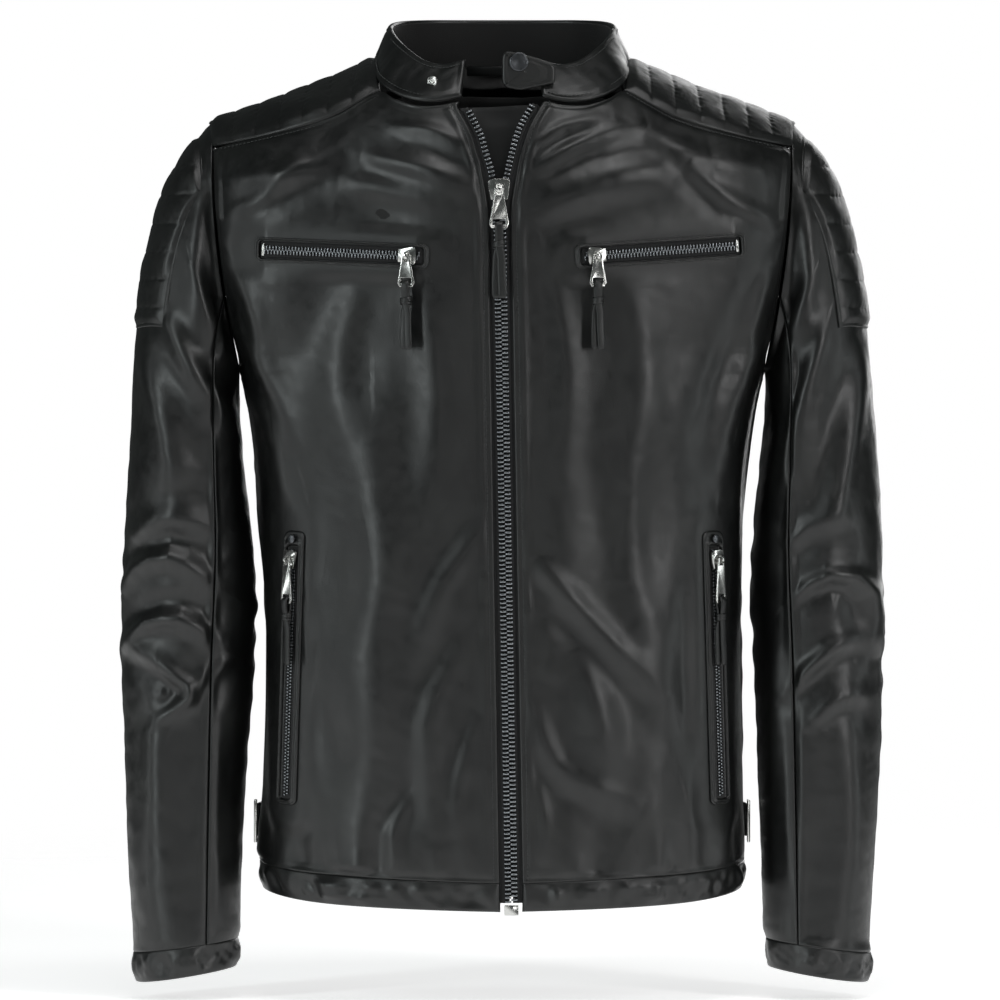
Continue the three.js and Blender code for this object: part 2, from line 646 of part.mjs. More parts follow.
function addMainZip() {
  for (const side of [RIGHT, LEFT]) {
    const name = SIDE_NAMES[side];
    const straight = [-641, -500, -300, -105, -94].map((z) => [zipX(z) + side * TEETH_OFFSET, z]);
    const line = [...straight, ...ROW[side].slice(1)];
    const offset = (millimetres) => () => side * millimetres;
    add(`${name}_main_teeth`, strip(line, 26, [offset(-2.1), offset(2)], [0, -2.4]), nickel);
    add(`${name}_main_tape`, strip(line, 26, [offset(-1.9), offset(8.5)], [-3.4, -4]), tape);
  }
  const flapLine = [-636, -400, -200, -100, -60, -25].map((z) => [zipX(z), z]);
  const widen = (u) => smooth((u - 0.86) / 0.14);
  const flapEdges = [(u) => mix(-12, -32, widen(u)), (u) => mix(30, 31, widen(u))];
  add("wind_flap", strip(flapLine, 20, flapEdges, [-5, -6.2]), leather);
  const box = plate(outline([[-5.5, -4], [5.5, -4], [5.5, 4], [-5.5, 4]]), -2.2, 1.2);
  const boxAt = vector(front(zipX(-646.5), -646.5));
  place(add("retainer_box", box, nickel), boxAt, vector([0, -1, 0]), vector([0, 0, 1]));
  const from = vector(front(zipX(-90), -90));
  const down = vector(front(zipX(-630), -630)).sub(from).normalize();
  const out = new THREE.Vector3(0, -1, 0).addScaledVector(down, down.y).normalize();
  addSlider("main", from, down, out, {
    half: 6.4, length: 16, plateLow: 0.4, flangeLow: -2.3, pull: [30, 7.6], thong: [56, 3.9],
  });
}

// Corners of a rounded frame in a zip's own run and width, the same count whatever its size.
function frameLoop(low, high, half, radius) {
  const corner = (s, d, from) => steps(3).map((t) => {
    const turn = from + (t * Math.PI) / 2;
    return [s + radius * Math.cos(turn), d + radius * Math.sin(turn)];
  });
  const sideRun = (from, to, d) => steps(6).slice(1, -1).map((t) => [mix(from, to, t), d]);
  return [
    ...corner(high - radius, half - radius, 0), ...sideRun(high - radius, low + radius, half),
    ...corner(low + radius, half - radius, Math.PI / 2), ...corner(low + radius, radius - half, Math.PI),
    ...sideRun(low + radius, high - radius, -half), ...corner(high - radius, radius - half, 1.5 * Math.PI),
  ];
}

const POCKET_SLIDER = {
  chest: { plateLow: 3.8, flangeLow: 2, pull: [24, 6.8] },
  hand: { plateLow: 4.3, flangeLow: 2.85, pull: [34, 6.2] },
};

function addPocket({ name: kind, side, from, to, start, head }) {
  const name = `${SIDE_NAMES[side]}_${kind}`;
  const length = Math.hypot(to[0] - from[0], to[1] - from[1]);
  const run = [(to[0] - from[0]) / length, (to[1] - from[1]) / length];
  const flat = (s, d) => [from[0] + run[0] * s - run[1] * d, from[1] + run[1] * s + run[0] * d];
  const narrow = kind === "hand" ? 0.68 : 1; // the side's slope hides part of a hand zip's width
  const raised = ([s, d], lift) => {
    const surface = (u, v) => front(...flat(s + u * 2, d + v * 2));
    return vector(surface(0, 0)).addScaledVector(normalAt(surface, 0, 0, torsoMiddle), lift).toArray();
  };
  const inner = frameLoop(-5, length + 3, WELT_OPENING * narrow, 3);
  const outer = frameLoop(-head, length + 8, WELT_HALF[kind], 5);
  const ring = (lift) => inner.map((spot, i) => [raised(spot, lift), raised(outer[i], lift)]);
  add(`${name}_welt`, between(ring(3.4), ring(0.9), true), leather);
  const chain = (half, lifts) => {
    const across = (s, lift) => [-1, 1].map((sign) => raised([s, sign * half * narrow], lift));
    const layer = (lift) => steps(6).map((t) => across(mix(-3.5, length + 1.5, t), lift));
    return between(layer(lifts[0]), layer(lifts[1]));
  };
  add(`${name}_zip`, joined(chain(5.6, [1.5, 0.9]), chain(3.3, [3, 1.2])), tape);
  const surface = (u, v) => front(...flat(start + u * 10, v * 4));
  const at = vector(surface(0, 0));
  const down = vector(front(...to)).sub(vector(front(...from))).normalize();
  const normal = normalAt(surface, 0, 0, torsoMiddle);
  const out = normal.addScaledVector(down, -normal.dot(down)).normalize();
  addSlider(name, at, down, out, { half: 4.8, length: 14, thong: [50, 3.2], ...POCKET_SLIDER[kind] });
  if (kind === "hand") {
    const high = (u, v) => front(...flat(-11 + u * 4, v * 4));
    const face = normalAt(high, 0, 0, torsoMiddle);
    const rivet = add(`${name}_rivet`, disc(3.5, 3.8, 5.6), gunmetal);
    place(rivet, vector(high(0, 0)), face, vector([0, 0, 1]));
  }
}

const STRAP = { low: -600, high: -568, front: 0.515, back: 0.72 };

function addWaistStraps() {
  for (const side of [RIGHT, LEFT]) {
    const name = SIDE_NAMES[side];
    const surface = (u, v) =>
      roundTorso(side, mix(STRAP.front, STRAP.back, u), mix(STRAP.low + 3, STRAP.high - 3, v));
    add(`${name}_waist_strap`, skin(surface, [8, 1], [4.4, 1.2]), leather);
    const ring = outline([[-13.5, -16.5], [0.5, -16.5], [0.5, 16.5], [-13.5, 16.5]]);
    ring.holes.push(outline([[-11, -13.5], [-11, 13.5], [-2, 13.5], [-2, -13.5]]));
    const level = (STRAP.low + STRAP.high) / 2;
    const at = vector([side * (halfWidth(level, FRONT_DEPTH) + 4), AXIS_Y - 2.2, level]);
    const geometry = plate(ring, -1.2, 1.2);
    if (side === RIGHT) geometry.rotateZ(Math.PI);
    place(add(`${name}_strap_ring`, geometry, nickel), at, vector([side, 0, 0]), vector([0, 0, 1]));
  }
}

addShell();
addSleeves();
addCollar();
addHangerLoop();
addMainZip();
POCKETS.forEach(addPocket);
addWaistStraps();

export default jacket;
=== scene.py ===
"""A men's leather riding jacket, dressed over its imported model.

Lengths in this file are millimetres until a mesh is made, +Z is up, the front faces -Y and the
wearer's right is -X. The origin is the middle of the hanger loop inside the back neck.
"""
import json
import math

import bmesh
import bpy
import numpy as np
from bpy.props import FloatProperty, FloatVectorProperty, PointerProperty
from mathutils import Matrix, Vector


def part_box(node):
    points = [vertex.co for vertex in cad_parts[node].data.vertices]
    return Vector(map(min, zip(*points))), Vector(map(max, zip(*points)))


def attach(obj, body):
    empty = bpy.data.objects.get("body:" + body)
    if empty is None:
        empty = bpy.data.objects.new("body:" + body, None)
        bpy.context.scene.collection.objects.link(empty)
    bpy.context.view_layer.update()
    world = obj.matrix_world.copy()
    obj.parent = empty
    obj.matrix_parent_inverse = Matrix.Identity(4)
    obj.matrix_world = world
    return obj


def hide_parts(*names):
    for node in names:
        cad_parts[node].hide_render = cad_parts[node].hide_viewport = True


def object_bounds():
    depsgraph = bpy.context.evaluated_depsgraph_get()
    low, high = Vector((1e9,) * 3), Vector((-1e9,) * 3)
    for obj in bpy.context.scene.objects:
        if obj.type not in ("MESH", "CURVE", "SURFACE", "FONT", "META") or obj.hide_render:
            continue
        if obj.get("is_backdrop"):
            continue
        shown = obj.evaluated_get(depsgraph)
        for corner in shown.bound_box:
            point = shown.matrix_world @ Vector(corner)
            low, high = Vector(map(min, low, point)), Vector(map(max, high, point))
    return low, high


bl_info = {
    "name": "Riding Jacket",
    "version": (1, 0, 0),
    "blender": (4, 5, 0),
    "location": "View3D > Sidebar > Jacket",
    "description": "Builds the leather, zips and lining of a riding jacket over its packed model",
    "category": "Object",
}

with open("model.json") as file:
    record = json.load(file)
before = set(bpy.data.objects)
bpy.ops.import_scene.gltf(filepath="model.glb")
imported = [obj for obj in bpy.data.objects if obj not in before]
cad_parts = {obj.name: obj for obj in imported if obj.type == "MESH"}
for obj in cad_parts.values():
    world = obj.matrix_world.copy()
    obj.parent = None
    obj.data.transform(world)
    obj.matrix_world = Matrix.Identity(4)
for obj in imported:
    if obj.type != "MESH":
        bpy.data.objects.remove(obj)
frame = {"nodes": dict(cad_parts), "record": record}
CAD_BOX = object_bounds()
NODES = frame["nodes"]
JOINTS = {joint["name"]: joint for joint in frame["record"]["behaviour"]["joints"]}
MM = 0.001
BODY = "jacket"
RIGHT, LEFT = -1, 1
SIDE_NAME = {RIGHT: "right", LEFT: "left"}
FRONT, BACK = -1, 1

# ---- the pattern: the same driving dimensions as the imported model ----

AXIS_Y = -66.0
FRONT_DEPTH = 126.0
ROUND = 2.6
LEAN_Z = -95.0
NECK_LEVEL = -45.0
SIDE_LINE = [[-652, 183], [-620, 189], [-560, 187], [-480, 184.5], [-380, 185.5], [-300, 193], [-232, 203]]
BACK_DEPTH = [[-652, 108], [-560, 104], [-400, 101], [-230, 116], [-120, 120], [40, 120]]
RIDGE = [[0, 42], [60, 27], [100, 9.5], [131, -4], [169, -19], [206, -32], [226, -38.5]]
ARM_TOP_X, ARM_TOP_Z, ARM_LOW_X, ARM_LOW_Z, ARM_DEPTH, ARM_BOW = 225, -39, 204, -232, 55, 6
ARM_X, ARM_Z = (ARM_TOP_X + ARM_LOW_X) / 2, (ARM_TOP_Z + ARM_LOW_Z) / 2
SLEEVE = [
    [0, 225, -39, 204, -232, 55, -66, 6], [0.12, 253, -76, 203.5, -262, 61, -66, 5],
    [0.25, 271, -125, 200.5, -300, 65, -66, 3], [0.4, 284.5, -200, 196, -350, 66, -66, 1],
    [0.55, 292, -300, 192.5, -405, 62, -67, 0], [0.7, 297, -420, 195, -475, 57, -70, 0],
    [0.85, 293.5, -550, 199.5, -565, 51, -76, 0], [1, 287, -686, 205, -675, 46, -84, 0],
    [1.05, 285, -709, 206.5, -697, 45, -85.5, 0],
]
UNDER_FROM = 2.0
YOKE = [[224.5, -58], [184, -49], [131, -33], [95, -14]]
NECKLINE = [[95, -14], [83, -19], [66, -24], [49, -24], [33, -21]]
BACK_NECK = [[92, -2], [70, 3], [35, 2], [0, 1]]
BACK_YOKE = [[100, -24], [131, -55], [184, -72], [224.5, -62]]
ZIP_TOP, ZIP_LOW = (-2.3, -88), (7.3, -647)
LAPEL_GAP = 8.5
TEETH_OFFSET = 2.7
LAPEL_FROM_ROW = 6.3
ROW = {
    RIGHT: [[-7, -80], [-10, -71], [-13, -61], [-16, -50], [-21, -39], [-28, -26]],
    LEFT: [[3.5, -80], [5.5, -72], [8, -61], [11, -50], [16, -38], [25, -23]],
}
POCKETS = {
    "right_chest": (RIGHT, (-66, -141.5), (-183, -137)),
    "left_chest": (LEFT, (66, -141.5), (180, -134)),
    "right_hand": (RIGHT, (-160.5, -372), (-166.5, -560)),
    "left_hand": (LEFT, (163, -372), (168.5, -560)),
}
ZIPS = ["main", *POCKETS]
HEM_SEAM = [[0, -627], [0.25, -621], [0.5, -615], [0.75, -618], [1, -620]]
HEM_EDGE = [[0, -648], [0.25, -643], [0.5, -636], [0.75, -639], [1, -641]]
SEAM = 0.5


# ---- numbers and curves ----

def mix(a, b, t):
    return a + (b - a) * t


def smooth(t):
    t = np.clip(t, 0, 1)
    return t * t * (3 - 2 * t)


def along(knots, t, k=1):
    """A smooth curve through knots: a cubic between each two, its slopes taken from their neighbours."""
    knots = np.asarray(knots, float)
    place, value = knots[:, 0], knots[:, k]
    t = np.clip(t, place[0], place[-1])
    i = np.clip(np.searchsorted(place, t, side="left") - 1, 0, len(place) - 2)
    slope = np.empty(len(place))
    slope[1:-1] = (value[2:] - value[:-2]) / (place[2:] - place[:-2])
    slope[0] = (value[1] - value[0]) / (place[1] - place[0])
    slope[-1] = (value[-1] - value[-2]) / (place[-1] - place[-2])
    span = place[i + 1] - place[i]
    s = (t - place[i]) / span
    first = value[i] * (2 * s**3 - 3 * s**2 + 1) + slope[i] * span * (s**3 - 2 * s**2 + s)
    return first + value[i + 1] * (3 * s**2 - 2 * s**3) + slope[i + 1] * span * (s**3 - s**2)


def measured(points):
    """The points as knots, with their distance along the line, from 0 to 1, in front."""
    points = np.asarray(points, float)
    run = np.concatenate([[0], np.cumsum(np.linalg.norm(np.diff(points, axis=0), axis=1))])
    return np.column_stack([run / run[-1], points])


def unit(v):
    return v / np.maximum(np.linalg.norm(v, axis=-1, keepdims=True), 1e-9)


# ---- the torso and the sleeves as surfaces ----

def crown(x, half):
    """How far a superellipse of half width half still stands out at x, from 1 in the middle to 0."""
    return np.maximum(0, 1 - (np.abs(x) / half) ** ROUND) ** (1 / ROUND)


ACROSS = np.arange(0.0, 232.0, 0.5)
RIDGE_HEIGHTS = along(RIDGE, ACROSS)


def lean(x, z):
    """A quarter circle in height, from 1 at the lean level to 0 at the shoulder line."""
    rise = np.clip((z - LEAN_Z) / (np.interp(np.abs(x), ACROSS, RIDGE_HEIGHTS) - LEAN_Z), 0, 1)
    return np.sqrt(1 - rise**2)


def arm_level(z):
    return np.clip((z - ARM_Z) / (ARM_TOP_Z - ARM_Z), -1, 1)


def armhole_x(z):
    level = arm_level(z)
    return ARM_X + (ARM_TOP_X - ARM_X) * level + ARM_BOW * (1 - level**2)


def cut_width(z, depth):
    """Half the torso's width; above the armpit, such that the surface meets the armhole."""
    level = np.clip(z, ARM_LOW_Z, NECK_LEVEL)
    x = armhole_x(level)
    share = ARM_DEPTH * np.sqrt(1 - arm_level(level) ** 2) / (depth * lean(x, level))
    return np.where(z < ARM_LOW_Z, along(SIDE_LINE, z), x / (1 - share**ROUND) ** (1 / ROUND))


def eased_width(z, depth):
    """The cut width, eased over 60 mm at the armpit, where it would turn a corner."""
    near = np.exp(-(((z - ARM_LOW_Z) / 34) ** 2))
    eased = sum(cut_width(z + k, depth(z)) for k in (-30, -15, 0, 15, 30)) / 5
    return mix(cut_width(z, depth(z)), eased, near)


LEVELS = np.arange(-790.0, 90.0, 0.5)
FRONT_WIDTHS = eased_width(LEVELS, lambda z: FRONT_DEPTH)
BACK_WIDTHS = eased_width(LEVELS, lambda z: along(BACK_DEPTH, z))


def half_width(z, depth):
    """Half the torso's width at a level of the front or of the back, whichever has this depth."""
    ahead, behind = np.interp(z, LEVELS, FRONT_WIDTHS), np.interp(z, LEVELS, BACK_WIDTHS)
    return np.where(depth == FRONT_DEPTH, ahead, behind)


def raw_front(x, z):
    return AXIS_Y - FRONT_DEPTH * crown(x, half_width(z, FRONT_DEPTH)) * lean(x, z)


def drawn_in(x, z, side, start, end):
    """How far one pocket zip draws the front in, fading 70 to 130 mm away from it."""
    run = np.subtract(end, start)
    s = np.clip(((x - start[0]) * run[0] + (z - start[1]) * run[1]) / (run @ run), 0, 1)
    near = (start[0] + run[0] * s, start[1] + run[1] * s)
    weight = 1 - smooth((np.hypot(x - near[0], z - near[1]) - 70) / 60)
    line = mix(raw_front(*start), raw_front(*end), s)
    return np.where(side * x > 0, weight * (line - raw_front(*near)), 0)


def settle(x, z):
    """The pockets' pull on the front: exact along each zip, averaged over 90 mm away from it."""
    shift = 0
    for side, start, end in POCKETS.values():
        run = np.subtract(end, start)
        way = run / np.hypot(*run)
        s = np.clip(((x - start[0]) * run[0] + (z - start[1]) * run[1]) / (run @ run), 0, 1)
        away = np.hypot(x - start[0] - run[0] * s, z - start[1] - run[1] * s)
        exact = drawn_in(x, z, side, start, end)
        steps = np.linspace(-45, 45, 11)
        share = np.cos(steps / 45 * np.pi / 2) ** 2
        soft = sum(w * drawn_in(x + way[0] * k, z + way[1] * k, side, start, end) for w,
                   k in zip(share, steps))
        shift = shift + mix(exact, soft / share.sum(), smooth((away - 6) / 22))
    return shift


def front(x, z):
    x, z = np.broadcast_arrays(np.asarray(x, float), np.asarray(z, float))
    return np.stack([x, raw_front(x, z) + settle(x, z), z], -1)


def depth_of(face, z):
    return FRONT_DEPTH + 0 * z if face == FRONT else along(BACK_DEPTH, z)


def on_torso(face, share, z):
    """The superellipse of the level z, at share of a quarter turn from the middle to the side seam."""
    depth = depth_of(face, z)
    turn = np.abs(share) * np.pi / 2
    x = np.sign(share) * half_width(z, depth) * np.sin(turn) ** (2 / ROUND)
    out = depth * np.cos(turn) ** (2 / ROUND) * lean(x, z)
    y = AXIS_Y + face * out + (settle(x, z) if face == FRONT else 0)
    return np.stack([x, y, z + 0 * x], -1)


def share_of(face, x, z):
    ratio = np.minimum(1, np.abs(x) / half_width(z, depth_of(face, z)))
    return np.sign(x) * np.arcsin(ratio ** (ROUND / 2)) / (np.pi / 2)


def over_shoulder(x, turn):
    """Over the shoulder line: turn 0 is the chest at the lean level, half a turn the back."""
    z = LEAN_Z + (along(RIDGE, np.abs(x)) - LEAN_Z) * np.sin(turn)
    depth = np.where(np.cos(turn) > 0, FRONT_DEPTH, along(BACK_DEPTH, z))
    return np.stack([x, AXIS_Y - depth * crown(x, half_width(z, depth)) * np.cos(turn), z], -1)


def on_sleeve(side, t, turn):
    """A ring between the sleeve's outer and inner lines: half its width by cosine, its depth by sine."""
    out_x, out_z, in_x, in_z, depth, middle, bow = (along(SLEEVE, t, k) for k in range(1, 8))
    swing = np.cos(turn)
    x = (out_x + in_x) / 2 + (out_x - in_x) / 2 * swing + bow * np.sin(turn) ** 2 + SEAM
    z = (out_z + in_z) / 2 + (out_z - in_z) / 2 * swing
    return np.stack([side * x, middle - depth * np.sin(turn), z], -1)


def patch(face, low, high, start, end):
    """A Coons patch between four seams, worked out in share of the side seam and height."""
    def point(u, v):
        place = []
        for k in (1, 2):
            rows = mix(along(low, u, k), along(high, u, k), v)
            columns = mix(along(start, v, k), along(end, v, k), u)
            ends = [np.asarray(knots)[i][k] for knots in (low, high) for i in (0, -1)]
            place.append(rows + columns - mix(mix(ends[0], ends[1], u), mix(ends[2], ends[3], u), v))
        return on_torso(face, np.clip(place[0], -1, 1), place[1])
    return point


def seam(face, points):
    knots = measured(points)
    knots[:, 1] = share_of(face, knots[:, 1], knots[:, 2])
    return knots


def side_edge(face, side):
    below = np.array([-614, -560, -500, -440, -380, -320, -270, -236.0])
    above = np.array([-225, -205, -180, -150, -120, -90, -60.0])
    share = np.concatenate([side * 0.9995 + 0 * below,
                            share_of(face, side * (armhole_x(above) - SEAM), above)])
    knots = measured(np.column_stack([share * 300, np.concatenate([below, above])]))
    knots[:, 1] /= 300
    return knots


def zip_x(z):
    return mix(ZIP_TOP[0], ZIP_LOW[0], (z - ZIP_TOP[1]) / (ZIP_LOW[1] - ZIP_TOP[1]))


def lapel(side, gap=LAPEL_GAP, from_row=LAPEL_FROM_ROW, top=(33, -22)):
    straight = [[zip_x(z) + side * gap, z] for z in (-626, -500, -350, -200, -110)]
    rows = [[x + side * from_row, z] for x, z in ROW[side][1:]]
    return [*straight, *rows, [side * top[0], top[1]]]


def mirrored(points, side):
    return [[side * x, z] for x, z in points]


def front_patch(side):
    top = [*mirrored(YOKE, side), *mirrored(NECKLINE, side)[1:]]
    top[0] = [side * (armhole_x(-60.0) - SEAM), -60]
    middle = float(share_of(FRONT, zip_x(-626) + side * LAPEL_GAP, -626.0))
    hem = [[0, side * 0.9995, -614], [0.5, side * 0.5, -620], [1, middle, -626]]
    return patch(FRONT, hem, seam(FRONT, top), side_edge(FRONT, side), seam(FRONT, lapel(side)))


def back_patch():
    half = [[armhole_x(-62.0) - SEAM, -62], *BACK_YOKE[2::-1], *BACK_NECK]
    top = [*half, *mirrored(half, RIGHT)[::-1][1:]]
    hem = [[0, 0.9995, -614], [0.5, 0, -619], [1, -0.9995, -614]]
    return patch(BACK, hem, seam(BACK, top), side_edge(BACK, LEFT), side_edge(BACK, RIGHT))


def shoulder_patch(side, front_gap=1.5, back_gap=6.0, neck_gap=0.0, arm_gap=0.0):
    """u runs from the collar to the sleeve, v from the front seam over the shoulder to the back seam."""
    def turn_at(knots, gap, x):
        rise = (along(knots, x) + gap - LEAN_Z) / (along(RIDGE, x) - LEAN_Z)
        return np.arcsin(np.clip(rise, 0, 1))

    def point(u, v):
        bulge = np.sqrt(np.sin(np.clip(v, 0, 1) * np.pi))
        neck = 98.5 + 3.5 * bulge - 7.5 * smooth((v - 0.55) / 0.3) - neck_gap
        x = mix(neck, 221 + 2.5 * bulge + arm_gap, u)
        turn = mix(turn_at(YOKE[::-1], front_gap, x),
                   np.pi - turn_at([BACK_NECK[0], *BACK_YOKE], back_gap, x), v)
        return over_shoulder(side * x, turn)
    return point


def sleeve_patch(side, from_t, to_t, from_turn, to_turn):
    return lambda u, v: on_sleeve(side, mix(from_t, to_t, v), mix(from_turn, to_turn, u))


def sleeve_pad_patch(side):
    """The quilted patch on the upper sleeve; its lower end is cut on a slant."""
    def point(u, v):
        turn = mix(1.0, -1.25, u)
        return on_sleeve(side, mix(0.035, 0.4 - 0.16 * (1 - np.cos(turn)), v), turn)
    return point


def round_torso(side, turn, z):
    """Round the torso: 0 is the front middle, 0.5 the side seam and 1 the back middle."""
    ahead = on_torso(FRONT, side * np.minimum(turn, 0.5) * 2, z)
    behind = on_torso(BACK, side * (2 - 2 * np.maximum(turn, 0.5)), z)
    return np.where((turn < 0.5)[..., None], ahead, behind)


def on_back(x, z):
    return [float(c) for c in on_torso(BACK, share_of(BACK, float(x), float(z)), np.asarray(float(z)))]


def collar_lines():
    """The collar's lower and upper edges as knots, from the wearer's right end round to the left."""
    low = [*(front(x, z).tolist() for x, z in ((31, -19), (49, -22.4), (66, -22), (82, -17), (95, -8))),
           [97.5, -86, 5.4], [97.5, -52, 7], [89, -22, 4.6], on_back(70, 2.2), on_back(35, 1.2)]
    high = [[28, -150, 9.5], [45, -146, 5.5], [60, -137, 9], [75, -118, 20], [84, -90, 30],
            [86, -58, 36], [78, -24, 39], [60, -2, 40], [30, 10, 40]]
    flip = lambda points: [[-x, y, z] for x, y, z in points]
    return (measured([*flip(low), on_back(0, 0.2), *low[::-1]]),
            measured([*flip(high), [0, 13, 40], *high[::-1]]))


# ---- folds and fullness ----

def waves(points, length, seed, count=14, stretch=(1, 1, 1)):
    """Soft unevenness about length millimetres long: a sum of plane waves in seeded directions."""
    draw = np.random.default_rng(seed)
    direction = unit(draw.normal(size=(count, 3))) / np.asarray(stretch, float)
    pitch = length * draw.uniform(0.7, 1.5, count)
    phase = draw.uniform(0, 2 * np.pi, count)
    total = sum(
        np.cos(points @ way * (2 * np.pi / size) + start)
        for way, size, start in zip(direction, pitch, phase)
    )
    return total / math.sqrt(count / 2)


def fold(a, b, line, width, height, valley=0.55):
    """A crease along a line of the plane (a, b): a ridge that fades at its ends, and a valley beside it."""
    knots = measured(line)
    line = np.stack([along(knots, np.linspace(0, 1, 8), k) for k in (1, 2)], -1)
    lengths = np.linalg.norm(np.diff(line, axis=0), axis=1)
    starts = np.concatenate([[0], np.cumsum(lengths)])
    best = np.full(np.shape(a), 1e9)
    signed = np.zeros(np.shape(a))
    place = np.zeros(np.shape(a))
    for i, length in enumerate(lengths):
        way = (line[i + 1] - line[i]) / length
        s = np.clip((a - line[i, 0]) * way[0] + (b - line[i, 1]) * way[1], 0, length)
        dx, dz = a - line[i, 0] - s * way[0], b - line[i, 1] - s * way[1]
        away = np.hypot(dx, dz)
        nearer = away < best
        best = np.where(nearer, away, best)
        signed = np.where(nearer, away * np.sign(way[0] * dz - way[1] * dx), signed)
        place = np.where(nearer, (starts[i] + s) / starts[-1], place)
    fade = np.sin(np.pi * np.clip(place, 0.02, 0.98)) ** 0.6
    spread = width * (0.75 + 0.5 * place)
    ridge = np.exp(-((signed / spread) ** 2))
    return 1.45 * height * fade * (ridge - valley * np.exp(-(((signed + 1.9 * spread) / (1.3 * spread)) ** 2)))


# Creases of the front, as lines of x and height with a width and a height, wearer's right then left
FRONT_FOLDS = {
    RIGHT: [
        ([(-112, -62), (-56, -76), (-17, -92)], 8, 3.0), ([(-130, -84), (-70, -92), (-15, -106)], 11, 2.6),
        ([(-86, -40), (-52, -46), (-24, -60)], 6, 1.8), ([(-206, -84), (-150, -74), (-112, -46)], 9, 2.4),
        ([(-214, -112), (-178, -92), (-150, -60)], 7, 1.8),
        ([(-206, -150), (-190, -185), (-180, -250)], 8, 2.8),
        ([(-212, -196), (-184, -226), (-160, -300)], 9, 2.6),
        ([(-200, -236), (-176, -290), (-168, -340)], 8, 2.0),
        ([(-110, -158), (-128, -230), (-112, -320)], 15, 2.2),
        ([(-60, -170), (-50, -260), (-60, -350)], 12, 1.6),
        ([(-100, -270), (-97, -420), (-104, -606)], 22, 3.4),
        ([(-10, -345), (-48, -400), (-70, -470)], 10, 1.9),
        ([(-30, -440), (-56, -500), (-48, -596)], 11, 1.9),
        ([(-140, -400), (-150, -480), (-140, -590)], 12, 1.6),
        ([(-20, -500), (-34, -560), (-28, -612)], 7, 1.3),
        ([(-72, -560), (-84, -590), (-80, -616)], 6, 1.3),
    ],
    LEFT: [
        ([(24, -76), (62, -54), (112, -40)], 7, 3.0), ([(18, -110), (80, -86), (164, -66)], 15, 4.0),
        ([(24, -56), (48, -42), (84, -36)], 5, 1.6), ([(108, -44), (150, -66), (208, -74)], 9, 2.2),
        ([(140, -70), (176, -98), (216, -120)], 7, 2.0), ([(210, -150), (196, -196), (184, -262)], 8, 2.8),
        ([(212, -200), (186, -236), (170, -320)], 9, 2.6), ([(96, -160), (110, -230), (96, -330)], 16, 2.2),
        ([(40, -150), (52, -240), (44, -330)], 11, 1.5), ([(24, -374), (62, -416), (128, -486)], 10, 3.2),
        ([(100, -290), (106, -400), (132, -520)], 15, 2.8), ([(60, -440), (78, -520), (66, -604)], 14, 2.2),
        ([(22, -480), (44, -536), (110, -570)], 9, 2.0), ([(26, -540), (32, -580), (30, -614)], 7, 1.4),
        ([(150, -420), (156, -500), (146, -600)], 10, 1.5),
    ],
}

# Creases of the sleeve's front half, as lines of distance from the middle and height
SLEEVE_FOLDS = {
    RIGHT: [
        ([(232, -86), (238, -150), (230, -226)], 8, 2.6),
        ([(283, -206), (267, -256), (256, -303), (256, -345)], 10, 4.0),
        ([(262, -186), (243, -226), (228, -252), (208, -286)], 8, 3.6),
        ([(240, -150), (226, -196), (206, -240)], 7, 2.8),
        ([(297, -408), (284, -386), (258, -376), (224, -396)], 7.5, 5.4),
        ([(294, -446), (276, -428), (250, -424), (218, -446)], 7, 5.0),
        ([(268, -504), (242, -482), (268, -458), (294, -440)], 6, 4.2),
        ([(290, -366), (262, -346), (226, -352)], 9, 2.6),
        ([(206, -452), (232, -470), (250, -500)], 7, 2.6),
        ([(268, -480), (272, -600), (267, -690)], 13, 3.4),
        ([(222, -500), (226, -590), (220, -670)], 9, 2.0),
        ([(292, -510), (288, -590), (284, -650)], 7, 1.6),
    ],
    LEFT: [
        ([(232, -90), (238, -150), (228, -232)], 8, 2.6), ([(283, -214), (272, -273), (252, -372)], 9, 4.4),
        ([(252, -196), (231, -262), (220, -326)], 8, 3.8),
        ([(240, -160), (222, -206), (208, -262)], 7, 2.8),
        ([(224, -410), (246, -393), (268, -390), (286, -408), (292, -460)], 7, 5.0),
        ([(220, -484), (244, -458), (264, -443), (284, -440)], 6.5, 4.2),
        ([(216, -372), (238, -352), (270, -340)], 8, 2.6),
        ([(240, -506), (262, -486), (286, -482)], 7, 3.0),
        ([(268, -506), (272, -600), (266, -690)], 13, 3.2),
        ([(230, -500), (228, -580), (230, -660)], 9, 2.0),
        ([(210, -440), (214, -520), (212, -600)], 7, 1.6),
    ],
}


def clear_of_zips(x, z, side):
    """1 on open leather, 0 under a pocket's welt, so that creases stop at the zips."""
    keep = 1.0
    for where, start, end in POCKETS.values():
        if where != side:
            continue
        run = np.subtract(end, start)
        s = np.clip(((x - start[0]) * run[0] + (z - start[1]) * run[1]) / (run @ run), -0.08, 1.05)
        away = np.hypot(x - start[0] - run[0] * s, z - start[1] - run[1] * s)
        keep = keep * smooth((away - 11) / 16)
    return keep


